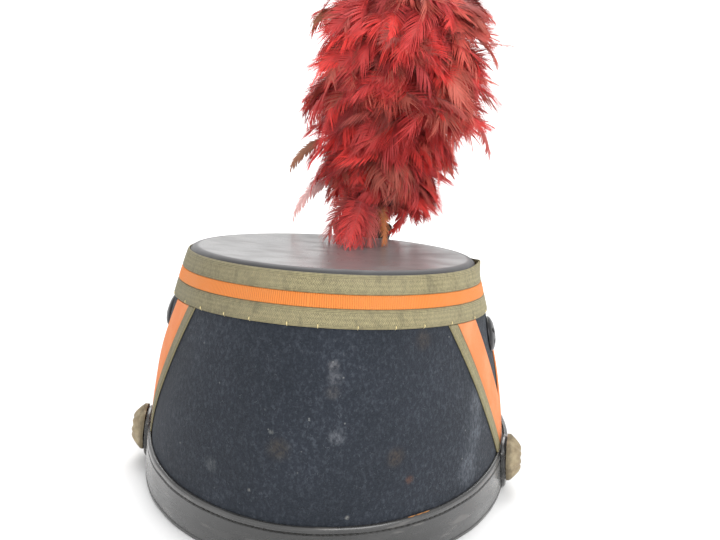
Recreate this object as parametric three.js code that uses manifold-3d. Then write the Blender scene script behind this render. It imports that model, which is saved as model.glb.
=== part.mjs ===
// Shako hat: a tapered oval felt crown with a slanted leather top, a leather head band and peak,
// lace stripes and chevrons, cast side bosses, pierced side vents and a feather plume at the front.
// Millimetres, +Z up. The rim stands on z = 0, the front faces -Y and the wearer's right is -X.

import * as THREE from 'three';
import { mergeVertices } from 'three/addons/utils/BufferGeometryUtils.js';
import Module from 'manifold-3d';

const wasm = await Module();
wasm.setup();

// Driving dimensions
const CROWN = {
  bottomHalfWidth: 84.6,
  bottomHalfLength: 101.6,
  topHalfWidth: 64.8,
  topHalfLength: 91,
  sideBulge: 4.2,
  endBulge: 8,
  topShift: 2,
  height: 110,
  slope: 0.226,
};
const GAP = 0.3;
const FELT = { thickness: 2.5, rimClearance: 0.4 };
const TOP = { thickness: 2.2, dish: 1.5, innerRing: 0.55 };
const HEADBAND = { height: 21.5, thickness: 1.8, eased: 0.6 };
const LACE = { thickness: 0.9, start: 1.8, olive: 8, orange: 5.6 };
const CHEVRON = {
  thickness: 0.8,
  topLevel: 0.8,
  topAngle: 54,
  anglePerLevel: 46.5,
  laceAngle: 4.9,
  ribbonAngle: 12.6,
  centreAngle: 86,
  sewnShift: 2.6,
  overlapAngle: 0.4,
  gapAngle: 0.25,
  footLevel: 0.2,
};
const BOSS_ANGLE = 85;
const VENT_ANGLE = 88;
const VENT = { height: 76, radius: 8.2, dome: 2.8, shell: 0.9, holeRadius: 1.2, holeRing: 4.6, holes: 5 };
const BOSS = { height: 15.5, halfWidth: 9.6, halfHeight: 11.6, petals: 8, petalDepth: 0.6, scallop: 0.06 };
const STRAP = { height: 16.3, halfHeight: 5.4, tabHalfHeight: 12.8, tabHalfAngle: 5.5, thickness: 1.6 };
const PEAK = {
  reach: 43,
  halfAngle: 68,
  rootHeight: 6.4,
  edgeHeight: 1,
  thickness: 2.2,
  tipReach: 1.2,
  curve: 1.4,
};
const SOCKET = {
  x: -4,
  y: -102.8,
  rimHeight: 93,
  depth: 20,
  topRadius: 16,
  bottomRadius: 9,
  flatten: 0.58,
  lip: 2,
};
const STEM = { radius: 4, bore: 4.4, boreDepth: 16 };
const PLUME = { coreRadius: 25, coreTop: 138, lockWidth: 22, lockThickness: 3, droop: 12, lift: 10 };
const SWAY = { reach: 15, height: 30 };

// Mesh resolution
const ROUND = 60;
const WALL_ROWS = 6;
const PATCH_COLUMNS = 4;
const PATCH_ROWS = 6;
const STRAP_STEPS = 24;
const PEAK_STEPS = 28;
const VENT_SIDES = 14;
const SOCKET_SIDES = 20;
const CORE_SIDES = 12;

// How the plume swells along its stem: the height of each tier of locks above the socket, how far
// its tips reach from the stem and how many locks stand round it.
const PLUME_TIERS = [
  { height: 13, reach: 21, locks: 6 },
  { height: 24, reach: 31, locks: 7 },
  { height: 41, reach: 39, locks: 8 },
  { height: 59, reach: 45, locks: 9 },
  { height: 77, reach: 47, locks: 9 },
  { height: 95, reach: 47, locks: 9 },
  { height: 111, reach: 44, locks: 8 },
  { height: 126, reach: 37, locks: 7 },
  { height: 138, reach: 25, locks: 5 },
];
const TOP_LOCKS = { height: 128, reach: 11, locks: 3, rise: 16 };

// One lock along its spine: share of the length and share of its full width.
const LOCK_STATIONS = [
  { share: 0.12, width: 0.4 },
  { share: 0.7, width: 1 },
  { share: 1, width: 0.3 },
];

// The plume's core: share of its height and of its radius.
const CORE_PROFILE = [
  { climb: 0.4, radius: 1 },
  { climb: 0.75, radius: 1 },
  { climb: 1, radius: 0 },
];

// Stations across the rounded tab at each end of the chin strap, in shares of its half angle.
const TAB_STATIONS = [-1, -0.8, -0.4, 0.4, 0.8, 1.1];

// Relief of a boss from its centre outwards: share of the radius and height above its back.
const BOSS_RELIEF = [
  { share: 0.16, height: 4.9 },
  { share: 0.36, height: 6.2 },
  { share: 0.6, height: 5 },
  { share: 0.84, height: 2.9 },
  { share: 1, height: 1.2 },
];

const FINISHES = {
  felt: { color: 0x2b3240, roughness: 0.95, metalness: 0 },
  patent: { color: 0x221d1d, roughness: 0.25, metalness: 0 },
  leather: { color: 0x2c2a2a, roughness: 0.45, metalness: 0 },
  olive: { color: 0x8f8460, roughness: 0.8, metalness: 0 },
  orange: { color: 0xe8863f, roughness: 0.8, metalness: 0 },
  japanned: { color: 0x1b1a1c, roughness: 0.35, metalness: 0.4 },
  brass: { color: 0x8f8062, roughness: 0.5, metalness: 0.8 },
  feather: { color: 0xa8262b, roughness: 0.85, metalness: 0 },
};

const radians = THREE.MathUtils.degToRad;
const lerp = THREE.MathUtils.lerp;

// Crown surface: theta runs round the oval from the rear (0) to the wearer's left (90 degrees), and
// t climbs from the rim (0) to the slanted top plane (1). An offset moves it out from the felt.
function crownPoint(theta, t, offset = 0) {
  const swell = 4 * t * (1 - t);
  const halfWidth = lerp(CROWN.bottomHalfWidth, CROWN.topHalfWidth, t) + CROWN.sideBulge * swell;
  const halfLength = lerp(CROWN.bottomHalfLength, CROWN.topHalfLength, t) + CROWN.endBulge * swell;
  const x = (halfWidth + offset) * Math.sin(theta);
  const y = CROWN.topShift * t + (halfLength + offset) * Math.cos(theta);
  return new THREE.Vector3(x, y, t * topHeight(y));
}

function topHeight(y) {
  return CROWN.height + CROWN.slope * y;
}

// The level t at a given rise above the rim, and at a given drop below the top plane.
function levelFromRim(theta, rise) {
  let t = 0;
  for (let pass = 0; pass < 5; pass += 1) {
    t = rise / topHeight(crownPoint(theta, t).y);
  }
  return t;
}

function levelFromTop(theta, drop) {
  let t = 1;
  for (let pass = 0; pass < 5; pass += 1) {
    t = 1 - drop / topHeight(crownPoint(theta, t).y);
  }
  return t;
}

// A solid through equal rings of points. A closed path joins the last ring to the first one, and an
// open one gets a flat cap at each end. The winding is turned where the volume comes out negative.
function loft(rings, closedPath) {
  const count = rings[0].length;
  const positions = rings.flat().flatMap((p) => [p.x, p.y, p.z]);
  const index = [];
  const spans = closedPath ? rings.length : rings.length - 1;
  for (let i = 0; i < spans; i += 1) {
    const here = i * count;
    const next = ((i + 1) % rings.length) * count;
    for (let j = 0; j < count; j += 1) {
      const k = (j + 1) % count;
      index.push(here + j, next + j, next + k, here + j, next + k, here + k);
    }
  }
  if (!closedPath) {
    const last = (rings.length - 1) * count;
    for (let j = 1; j < count - 1; j += 1) {
      index.push(0, j, j + 1);
      index.push(last, last + j + 1, last + j);
    }
  }
  return solidFrom(positions, index);
}

function solidFrom(positions, index) {
  const geometry = new THREE.BufferGeometry();
  geometry.setAttribute('position', new THREE.Float32BufferAttribute(positions, 3));
  const turned = signedVolume(positions, index) < 0;
  geometry.setIndex(turned ? index.toReversed() : index);
  geometry.computeVertexNormals();
  return geometry;
}

function signedVolume(positions, index) {
  const corner = (i) => new THREE.Vector3().fromArray(positions, 3 * index[i]);
  let volume = 0;
  for (let i = 0; i < index.length; i += 3) {
    volume += corner(i).dot(corner(i + 1).cross(corner(i + 2))) / 6;
  }
  return volume;
}

// A geometry with its doubled vertices merged.
function welded(geometry) {
  const bare = geometry.clone();
  bare.deleteAttribute('normal');
  bare.deleteAttribute('uv');
  return mergeVertices(bare, 1e-4);
}

// A three.js geometry as a solid that can be joined and cut, and back again.
function toManifold(geometry) {
  const merged = welded(geometry);
  return new wasm.Manifold(new wasm.Mesh({
    numProp: 3,
    vertProperties: new Float32Array(merged.attributes.position.array),
    triVerts: new Uint32Array(merged.index.array),
  }));
}

function fromManifold(solid) {
  const mesh = solid.getMesh();
  return solidFrom(Array.from(mesh.vertProperties), Array.from(mesh.triVerts));
}

// A hoop round the whole crown, from a closed profile of points with a level and an offset.
function hoop(profile) {
  const rings = [];
  for (let i = 0; i < ROUND; i += 1) {
    const theta = (2 * Math.PI * i) / ROUND;
    rings.push(profile.map((p) => crownPoint(theta, p.level(theta), p.offset)));
  }
  return loft(rings, true);
}

// A flat stripe round the crown between two drops below the top plane.
function stripeBelowTop(upper, lower) {
  const inside = GAP;
  const outside = GAP + LACE.thickness;
  const top = (theta) => levelFromTop(theta, upper);
  const bottom = (theta) => levelFromTop(theta, lower);
  return hoop([
    { level: bottom, offset: inside },
    { level: bottom, offset: outside },
    { level: top, offset: outside },
    { level: top, offset: inside },
  ]);
}

// Felt wall: open at the bottom for the head and at the top, where the leather disc closes it.
function crownWall() {
  const level = (row) => (theta) => lerp(
    levelFromRim(theta, FELT.rimClearance),
    levelFromTop(theta, TOP.thickness + GAP),
    row / WALL_ROWS,
  );
  const rows = Array.from({ length: WALL_ROWS + 1 }, (_, row) => row);
  const outside = rows.map((row) => ({ level: level(row), offset: 0 }));
  const inside = rows.toReversed().map((row) => ({ level: level(row), offset: -FELT.thickness }));
  return hoop([...outside, ...inside]);
}

// Leather top: a shallow dished disc with a rounded edge, seated on the top edge of the felt.
function crownTop() {
  const round = TOP.thickness;
  const eased = round * (1 - Math.SQRT1_2);
  const centre = new THREE.Vector3(0, CROWN.topShift, topHeight(CROWN.topShift));
  const edge = (inset, drop) => (theta) => crownPoint(theta, levelFromTop(theta, drop), -inset);
  const dished = (theta, share, thickness) => {
    const p = crownPoint(theta, 1, -round).lerp(centre, 1 - share);
    p.z -= TOP.dish * (1 - share ** 2) + thickness;
    return p;
  };
  const rings = [
    (theta) => dished(theta, 1, TOP.thickness),
    edge(0, round),
    edge(eased, eased),
    edge(round, 0),
    (theta) => dished(theta, TOP.innerRing, 0),
  ];
  const positions = [];
  rings.forEach((ring) => {
    for (let i = 0; i < ROUND; i += 1) {
      positions.push(...ring((2 * Math.PI * i) / ROUND).toArray());
    }
  });
  const upperPole = rings.length * ROUND;
  const lowerPole = upperPole + 1;
  positions.push(...dished(0, 0, 0).toArray(), ...dished(0, 0, TOP.thickness).toArray());
  const index = [];
  for (let i = 0; i < ROUND; i += 1) {
    const j = (i + 1) % ROUND;
    for (let low = 0; low < upperPole - ROUND; low += ROUND) {
      const high = low + ROUND;
      index.push(low + i, high + j, high + i, low + i, low + j, high + j);
    }
    const last = upperPole - ROUND;
    index.push(last + i, last + j, upperPole, j, i, lowerPole);
  }
  return solidFrom(positions, index);
}

// Leather head band: a stitched strap round the foot of the crown, with an eased upper edge. It follows
// the swell of the felt in two steps.
function headband() {
  const inside = GAP;
  const outside = GAP + HEADBAND.thickness;
  const at = (rise) => (theta) => levelFromRim(theta, rise);
  return hoop([
    { level: at(0), offset: inside },
    { level: at(0), offset: outside },
    { level: at(0.5 * HEADBAND.height), offset: outside },
    { level: at(HEADBAND.height - HEADBAND.eased), offset: outside },
    { level: at(HEADBAND.height), offset: outside - HEADBAND.eased },
    { level: at(HEADBAND.height), offset: inside },
    { level: at(0.5 * HEADBAND.height), offset: inside },
  ]);
}

// Angle of the seam between a chevron's ribbon and its lace at a level, before the sewn shift.
function seamAngle(t) {
  return CHEVRON.topAngle + CHEVRON.anglePerLevel * (CHEVRON.topLevel - t);
}

// One leg of a chevron: a patch of the crown between two angles that change with the level. The front
// leg mirrors the rear one about the chevron's centre angle, and the wearer's right has negative angles.
function chevronLeg(side, isFront, startAngle, endAngle) {
  const place = (angle) => {
    const turned = isFront ? 2 * CHEVRON.centreAngle - angle : angle;
    return radians(side * turned - CHEVRON.sewnShift);
  };
  const laceFoot = LACE.start + 2 * LACE.olive + LACE.orange + 3 * GAP;
  const rings = [];
  for (let row = 0; row <= PATCH_ROWS; row += 1) {
    const share = row / PATCH_ROWS;
    const corner = (column, offset) => {
      const guess = lerp(CHEVRON.footLevel, CHEVRON.topLevel, share);
      const roughTheta = place(lerp(startAngle(guess), endAngle(guess), column / PATCH_COLUMNS));
      const foot = levelFromRim(roughTheta, HEADBAND.height + GAP);
      const t = lerp(foot, levelFromTop(roughTheta, laceFoot), share);
      return crownPoint(place(lerp(startAngle(t), endAngle(t), column / PATCH_COLUMNS)), t, offset);
    };
    const columns = Array.from({ length: PATCH_COLUMNS + 1 }, (_, column) => column);
    const outside = columns.map((column) => corner(column, GAP + CHEVRON.thickness));
    const inside = columns.toReversed().map((column) => corner(column, GAP));
    rings.push([...outside, ...inside]);
  }
  return toManifold(loft(rings, false));
}

// A chevron's orange ribbon: two legs joined along the centre line above the boss.
function chevronRibbon(side) {
  const start = (t) => Math.min(seamAngle(t), CHEVRON.centreAngle - CHEVRON.overlapAngle);
  const end = (t) => Math.min(seamAngle(t) + CHEVRON.ribbonAngle, CHEVRON.centreAngle + CHEVRON.overlapAngle);
  return fromManifold(chevronLeg(side, false, start, end).add(chevronLeg(side, true, start, end)));
}

// A chevron's olive lace: a narrow edge along the outer side of one leg.
function chevronLace(side, isFront) {
  const start = (t) => seamAngle(t) - CHEVRON.laceAngle;
  const end = (t) => seamAngle(t) - CHEVRON.gapAngle;
  return fromManifold(chevronLeg(side, isFront, start, end));
}

// Stand a piece on the crown at an angle: its local +Z points out of the wall and its +Y up it.
function placeOnSide(object, theta, rise, offset) {
  const t = levelFromRim(theta, rise);
  const step = 0.01;
  const round = crownPoint(theta + step, t).sub(crownPoint(theta - step, t));
  const up = crownPoint(theta, t + step).sub(crownPoint(theta, t - step)).normalize();
  const out = up.clone().cross(round).normalize();
  const across = up.clone().cross(out);
  object.quaternion.setFromRotationMatrix(new THREE.Matrix4().makeBasis(across, up, out));
  object.position.copy(crownPoint(theta, t)).addScaledVector(out, offset);
  return object;
}

// Side vent: a thin domed cap, open at the back and pierced by a centre hole and a ring of holes.
function vent() {
  const dome = (radius, height) => [0, 30, 60, 90].map((angle) => new THREE.Vector2(
    radius * Math.sin(radians(angle)),
    height * Math.cos(radians(angle)),
  ));
  const inner = dome(VENT.radius - VENT.shell, VENT.dome - VENT.shell).toReversed();
  const profile = [...dome(VENT.radius, VENT.dome), ...inner];
  const shell = new THREE.LatheGeometry(profile, VENT_SIDES).rotateX(Math.PI / 2);
  let pierced = toManifold(orient(shell));
  const punch = (x, y) => {
    const tool = new THREE.CylinderGeometry(VENT.holeRadius, VENT.holeRadius, 4 * VENT.dome, 6);
    pierced = pierced.subtract(toManifold(tool.rotateX(Math.PI / 2).translate(x, y, 0)));
  };
  punch(0, 0);
  for (let i = 0; i < VENT.holes; i += 1) {
    const angle = (2 * Math.PI * i) / VENT.holes;
    punch(VENT.holeRing * Math.cos(angle), VENT.holeRing * Math.sin(angle));
  }
  return fromManifold(pierced);
}

// A lathe's surface with its faces turned outwards and its seam merged.
function orient(geometry) {
  const merged = welded(geometry);
  const positions = Array.from(merged.attributes.position.array);
  const triangles = [];
  const source = merged.index.array;
  for (let i = 0; i < source.length; i += 3) {
    const [a, b, c] = source.slice(i, i + 3);
    if (a !== b && b !== c && c !== a) {
      triangles.push(a, b, c);
    }
  }
  return solidFrom(positions, triangles);
}

// Side boss: an oval cast rosette with a flat back, a scalloped edge and a dimple in its raised middle.
function boss() {
  const steps = 4 * BOSS.petals;
  const rings = [];
  const ringAt = (share, height) => Array.from({ length: steps }, (_, i) => {
    const angle = (2 * Math.PI * i) / steps;
    const lobe = Math.cos(BOSS.petals * angle);
    const spread = share * (1 + BOSS.scallop * share * lobe);
    const raised = height + BOSS.petalDepth * lobe * Math.sin(Math.PI * share);
    return new THREE.Vector3(
      BOSS.halfWidth * spread * Math.cos(angle),
      BOSS.halfHeight * spread * Math.sin(angle),
      raised,
    );
  });
  rings.push(ringAt(1, 0).map((p) => p.setZ(0)));
  BOSS_RELIEF.toReversed().forEach((row) => rings.push(ringAt(row.share, row.height)));
  return loft(rings, false);
}

// Chin strap: from boss to boss round the front, with a taller rounded tab under each boss.
function chinStrap() {
  const inside = 2 * GAP + HEADBAND.thickness;
  const outside = inside + STRAP.thickness;
  const tab = STRAP.tabHalfAngle;
  const tabStations = TAB_STATIONS.map((share) => ({
    angle: BOSS_ANGLE + share * tab,
    half: Math.max(STRAP.tabHalfHeight * Math.sqrt(Math.max(1 - share ** 2, 0)), STRAP.halfHeight),
  }));
  const runStart = tabStations.at(-1).angle;
  const run = Array.from({ length: STRAP_STEPS - 1 }, (_, i) => ({
    angle: lerp(runStart, 360 - runStart, (i + 1) / STRAP_STEPS),
    half: STRAP.halfHeight,
  }));
  const farTab = tabStations.toReversed().map(({ angle, half }) => ({ angle: 360 - angle, half }));
  const rings = [...tabStations, ...run, ...farTab].map(({ angle, half }) => {
    const theta = radians(angle);
    const low = levelFromRim(theta, STRAP.height - half);
    const high = levelFromRim(theta, STRAP.height + half);
    return [
      crownPoint(theta, low, inside),
      crownPoint(theta, low, outside),
      crownPoint(theta, high, outside),
      crownPoint(theta, high, inside),
    ];
  });
  return loft(rings, false);
}

// Peak: a crescent of stiff leather that slopes down from the front of the head band.
function peak() {
  const root = 2 * GAP + HEADBAND.thickness;
  const rings = [];
  for (let i = 0; i <= PEAK_STEPS; i += 1) {
    const along = lerp(-1, 1, i / PEAK_STEPS);
    const theta = Math.PI + radians(along * PEAK.halfAngle);
    const reach = lerp(PEAK.tipReach, PEAK.reach, Math.cos((along * Math.PI) / 2));
    const fall = (PEAK.rootHeight - PEAK.edgeHeight) * (reach / PEAK.reach);
    const level = levelFromRim(theta, PEAK.rootHeight + PEAK.thickness);
    const at = (share, lift) => {
      const p = crownPoint(theta, level, root + reach * share);
      const rise = PEAK.rootHeight - fall * share ** PEAK.curve + lift * PEAK.thickness;
      return p.setZ(rise);
    };
    rings.push([
      at(0, 0),
      at(0.5, 0),
      at(0.97, 0),
      at(1, 0.5),
      at(0.97, 1),
      at(0.5, 1),
      at(0, 1),
    ]);
  }
  return loft(rings, false);
}

// Plume socket: a flattened cup with a blind bore for the stem, rim at z = 0.
function plumeSocket() {
  const profile = [
    new THREE.Vector2(0, -SOCKET.depth),
    new THREE.Vector2(SOCKET.bottomRadius, -SOCKET.depth),
    new THREE.Vector2(lerp(SOCKET.bottomRadius, SOCKET.topRadius, 0.75), -SOCKET.depth * 0.45),
    new THREE.Vector2(SOCKET.topRadius, -SOCKET.lip),
    new THREE.Vector2(SOCKET.topRadius - 0.5 * SOCKET.lip, 0),
    new THREE.Vector2(STEM.bore / SOCKET.flatten, 0),
    new THREE.Vector2(STEM.bore / SOCKET.flatten, -STEM.boreDepth),
    new THREE.Vector2(0, -STEM.boreDepth),
  ];
  const cup = new THREE.LatheGeometry(profile, SOCKET_SIDES).rotateX(Math.PI / 2);
  return orient(cup.scale(1, SOCKET.flatten, 1));
}

// One lock of feathers: a blade that leaves the stem, rises, broadens and droops at its tip.
function featherLock(height, reach, angle, droop, lift) {
  const out = new THREE.Vector3(Math.cos(angle), Math.sin(angle), 0);
  const side = new THREE.Vector3(-Math.sin(angle), Math.cos(angle), 0);
  const at = (radius, z) => out.clone().multiplyScalar(radius).setZ(z);
  const spine = new THREE.QuadraticBezierCurve3(
    at(1, height - 0.5 * lift),
    at(0.66 * reach, height + lift),
    at(reach, height - droop),
  );
  const fullWidth = Math.min(PLUME.lockWidth, reach);
  const rings = LOCK_STATIONS.map(({ share, width }) => {
    const middle = spine.getPoint(share);
    const normal = spine.getTangent(share).cross(side).normalize();
    const halfWidth = 0.5 * fullWidth * width;
    const halfThickness = PLUME.lockThickness * Math.sqrt(width);
    return [
      middle.clone().addScaledVector(side, halfWidth),
      middle.clone().addScaledVector(normal, halfThickness),
      middle.clone().addScaledVector(side, -halfWidth),
      middle.clone().addScaledVector(normal, -halfThickness),
    ];
  });
  return toManifold(loft(rings, false));
}

// Plume: a stem that stands in the socket, a core round it, and tiers of locks fused to them. The
// whole plume sways towards the wearer's right and straightens as it climbs.
function plume() {
  const profile = [
    new THREE.Vector2(0, GAP - STEM.boreDepth),
    new THREE.Vector2(STEM.radius, GAP - STEM.boreDepth),
    new THREE.Vector2(STEM.radius, GAP),
    new THREE.Vector2(0.6 * PLUME.coreRadius, GAP),
    ...CORE_PROFILE.map(({ climb, radius }) => (
      new THREE.Vector2(radius * PLUME.coreRadius, climb * PLUME.coreTop)
    )),
  ];
  let body = toManifold(orient(new THREE.LatheGeometry(profile, CORE_SIDES).rotateX(Math.PI / 2)));
  const addTier = (tier, turn, droop, lift) => {
    for (let i = 0; i < tier.locks; i += 1) {
      const angle = (2 * Math.PI * (i + turn)) / tier.locks;
      body = body.add(featherLock(tier.height, tier.reach, angle, droop, lift));
    }
  };
  PLUME_TIERS.forEach((tier, row) => addTier(tier, 0.5 * (row % 2), PLUME.droop, PLUME.lift));
  addTier(TOP_LOCKS, 0.25, -TOP_LOCKS.rise, TOP_LOCKS.rise);
  return swayed(fromManifold(body));
}

function swayed(geometry) {
  const position = geometry.attributes.position;
  for (let i = 0; i < position.count; i += 1) {
    const climb = Math.max(position.getZ(i), 0);
    position.setX(i, position.getX(i) - SWAY.reach * (1 - Math.exp(-climb / SWAY.height)));
  }
  geometry.computeVertexNormals();
  return geometry;
}

function piece(name, geometry, finish) {
  const mesh = new THREE.Mesh(geometry, new THREE.MeshStandardMaterial(FINISHES[finish]));
  mesh.name = name;
  return mesh;
}

function buildShako() {
  const hat = new THREE.Group();
  const ribbonTop = LACE.start + LACE.olive + GAP;
  const lowerTop = ribbonTop + LACE.orange + GAP;
  hat.add(
    piece('crown_wall', crownWall(), 'felt'),
    piece('crown_top', crownTop(), 'patent'),
    piece('headband', headband(), 'leather'),
    piece('top_lace_upper', stripeBelowTop(LACE.start, LACE.start + LACE.olive), 'olive'),
    piece('top_ribbon', stripeBelowTop(ribbonTop, ribbonTop + LACE.orange), 'orange'),
    piece('top_lace_lower', stripeBelowTop(lowerTop, lowerTop + LACE.olive), 'olive'),
    piece('chin_strap', chinStrap(), 'leather'),
    piece('peak', peak(), 'patent'),
  );

  const strapFace = 3 * GAP + HEADBAND.thickness + STRAP.thickness;
  for (const [name, side] of [['left', 1], ['right', -1]]) {
    hat.add(
      piece(`chevron_${name}_ribbon`, chevronRibbon(side), 'orange'),
      piece(`chevron_${name}_lace_rear`, chevronLace(side, false), 'olive'),
      piece(`chevron_${name}_lace_front`, chevronLace(side, true), 'olive'),
      placeOnSide(piece(`vent_${name}`, vent(), 'japanned'), radians(side * VENT_ANGLE), VENT.height, GAP),
      placeOnSide(piece(`boss_${name}`, boss(), 'brass'), radians(side * BOSS_ANGLE), BOSS.height, strapFace),
    );
  }

  const front = new THREE.Group();
  front.position.set(SOCKET.x, SOCKET.y, SOCKET.rimHeight);
  front.add(
    piece('plume_socket', plumeSocket(), 'japanned'),
    piece('plume', plume(), 'feather'),
  );
  hat.add(front);
  return hat;
}

export default buildShako();
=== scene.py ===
# %% [markdown]
# # A felt shako with a feather plume
# This lesson dresses the solids of a shako: a tapered felt crown, a leather top and head band, woven
# lace, cast bosses and a plume. Each piece is a surface worked out with numpy, and each finish is a
# small node tree written as Python expressions. First the solids are loaded.

import bmesh
import bpy
import numpy as np
from mathutils import Matrix


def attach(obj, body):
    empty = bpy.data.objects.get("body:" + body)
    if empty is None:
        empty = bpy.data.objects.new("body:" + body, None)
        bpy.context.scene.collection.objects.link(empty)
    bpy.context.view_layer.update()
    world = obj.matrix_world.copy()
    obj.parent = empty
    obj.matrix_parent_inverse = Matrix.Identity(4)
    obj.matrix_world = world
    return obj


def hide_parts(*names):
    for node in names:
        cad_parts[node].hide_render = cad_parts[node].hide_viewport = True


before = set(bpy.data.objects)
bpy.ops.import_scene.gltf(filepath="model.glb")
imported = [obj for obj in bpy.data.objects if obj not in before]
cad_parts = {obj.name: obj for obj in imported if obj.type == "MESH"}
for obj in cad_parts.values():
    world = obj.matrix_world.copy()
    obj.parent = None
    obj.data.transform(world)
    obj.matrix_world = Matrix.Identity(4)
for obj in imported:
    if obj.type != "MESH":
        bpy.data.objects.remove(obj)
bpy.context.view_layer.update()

# %% [markdown]
# ## Camera
# The hat is seen from behind and a little above, and the camera leans slightly. A camera can be aimed
# by hand, but here its three directions were worked out from the top oval, the lace and the band, so
# they are given as unit vectors and put straight into its matrix.

# %% Camera behind the hat
CAMERA_PLACE = np.array([-0.063576, 0.6314624, 0.3117561])
CAMERA_RIGHT = np.array([-0.9942, -0.0967, 0.0470])
CAMERA_UP = np.array([0.0750, -0.3105, 0.9476])
CAMERA_FORWARD = np.array([0.0771, -0.9456, -0.3160])
CAMERA_LENS = 71.15
SENSOR_WIDTH = 36.0

camera_data = bpy.data.cameras.new("camera")
camera_data.lens = CAMERA_LENS
camera_data.sensor_width = SENSOR_WIDTH
camera = bpy.data.objects.new("camera", camera_data)
turn = np.stack([CAMERA_RIGHT, CAMERA_UP, -CAMERA_FORWARD], axis=1)
placed = np.eye(4)
placed[:3, :3] = np.linalg.qr(turn)[0] * np.sign(np.diag(np.linalg.qr(turn)[1]))
placed[:3, 3] = CAMERA_PLACE
camera.matrix_world = Matrix(placed.tolist())
bpy.context.scene.collection.objects.link(camera)
bpy.context.scene.camera = camera
print("camera at", CAMERA_PLACE.tolist())

# %% [markdown]
# ## Light
# The hat stands in a white studio. A pale sky from all sides gives the grazing reflections on the
# leather, one large soft light from the wearer's right gives the felt its direction, and another beyond
# the plume lights the floor that the top mirrors. Small lamps would leave hard spots on the varnish.

# %% Sky and soft lights
SKY_STRENGTH = 0.92
SOFT_LIGHTS = [
    {"name": "key", "place": (-1.25, 1.5, 1.3), "size": 1.6, "watts": 29.0},
    {"name": "fill", "place": (1.6, 1.2, 1.2), "size": 1.6, "watts": 1.5},
    {"name": "front", "place": (0.1, -1.5, 1.9), "size": 2.0, "watts": 50.0},
]
AIM_POINT = np.array([0.0, 0.0, 0.1])

world = bpy.data.worlds.new("white_studio")
world.use_nodes = True
world.node_tree.nodes["Background"].inputs["Color"].default_value = (1.0, 1.0, 1.0, 1.0)
world.node_tree.nodes["Background"].inputs["Strength"].default_value = SKY_STRENGTH
bpy.context.scene.world = world
bpy.context.scene.view_settings.view_transform = "Standard"


def soft_light(name, place, size, watts):
    """A square area light that faces the middle of the crown."""
    data = bpy.data.lights.new(name, "AREA")
    data.size = size
    data.energy = watts
    lamp = bpy.data.objects.new(name, data)
    back = np.array(place) - AIM_POINT
    back = back / np.linalg.norm(back)
    side = np.cross([0.0, 0.0, 1.0], back)
    side = side / np.linalg.norm(side)
    aim = np.eye(4)
    aim[:3, :3] = np.stack([side, np.cross(back, side), back], axis=1)
    aim[:3, 3] = place
    lamp.matrix_world = Matrix(aim.tolist())
    bpy.context.scene.collection.objects.link(lamp)


for row in SOFT_LIGHTS:
    soft_light(**row)
print("lights:", [row["name"] for row in SOFT_LIGHTS])

# %% [markdown]
# ## Shader expressions
# A finish is easier to read as a formula than as a list of links. The class below wraps one socket, so
# that `1 - mask` or `noise * 0.3` adds the Math nodes by itself. Colours are blended with the Mix node,
# because a Math node would turn them grey. Any other node comes from `make`.

# %% One class for node expressions


class Wire:
    """A socket in a node tree that can be used in an expression."""

    def __init__(self, tree, socket=None):
        self.tree = tree
        self.socket = socket

    def make(self, kind, settings=None, sockets=None, output=0):
        """A new node: its settings are set first, then its sockets get values or links."""
        node = self.tree.nodes.new(kind)
        for name, value in (settings or {}).items():
            setattr(node, name, value)
        for name, value in (sockets or {}).items():
            if isinstance(value, Wire):
                self.tree.links.new(value.socket, node.inputs[name])
            else:
                node.inputs[name].default_value = value
        return Wire(self.tree, node.outputs[output])

    def math(self, operation, first, second=0.0):
        return self.make("ShaderNodeMath", {"operation": operation}, {0: first, 1: second})

    def __add__(self, other):
        return self.math("ADD", self, other)

    __radd__ = __add__

    def __sub__(self, other):
        return self.math("SUBTRACT", self, other)

    def __rsub__(self, other):
        return self.math("SUBTRACT", other, self)

    def __mul__(self, other):
        return self.math("MULTIPLY", self, other)

    __rmul__ = __mul__

    def __truediv__(self, other):
        return self.math("DIVIDE", self, other)

    def zigzag(self, period):
        """A triangle wave from 0 to 1 and back over each period."""
        return self.math("PINGPONG", self, 0.5 * period) / (0.5 * period)

    def between(self, low, high):
        """0 below low, 1 above high and a smooth step between them."""
        settings = {"interpolation_type": "SMOOTHSTEP"}
        return self.make("ShaderNodeMapRange", settings, {0: self, 1: low, 2: high, 3: 0.0, 4: 1.0})

    def blend(self, first, second):
        """The first colour where this is 0 and the second where it is 1."""
        return self.make("ShaderNodeMix", {"data_type": "RGBA"}, {0: self, 6: first, 7: second}, 2)

    def noise(self, scale, detail=2.0, roughness=0.5):
        sockets = {"Vector": self, "Scale": scale, "Detail": detail, "Roughness": roughness}
        return self.make("ShaderNodeTexNoise", None, sockets)

    def stretched(self, x, y, z):
        """Coordinates whose pattern is stretched by these factors."""
        return self.make("ShaderNodeMapping", None, {"Vector": self, "Scale": (1 / x, 1 / y, 1 / z)})

    def near(self, point, radius):
        """1 at a point, falling to 0 at a radius from it."""
        settings = {"operation": "DISTANCE"}
        gap = self.make("ShaderNodeVectorMath", settings, {0: self, 1: point}, "Value")
        return 1.0 - gap.between(0.2 * radius, radius)

    def part(self, axis):
        return self.make("ShaderNodeSeparateXYZ", None, {0: self}, axis)


def colour(red, green, blue):
    return (red, green, blue, 1.0)


def new_finish(name, **constants):
    """A material with one Principled shader, and a wire to start expressions from."""
    material = bpy.data.materials.new(name)
    material.use_nodes = True
    shader = material.node_tree.nodes["Principled BSDF"]
    for socket, value in constants.items():
        shader.inputs[socket.replace("_", " ").title().replace("Ior", "IOR")].default_value = value
    return material, shader, Wire(material.node_tree)


def connect(shader, socket, wire):
    shader.id_data.links.new(wire.socket, shader.inputs[socket])


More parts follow.
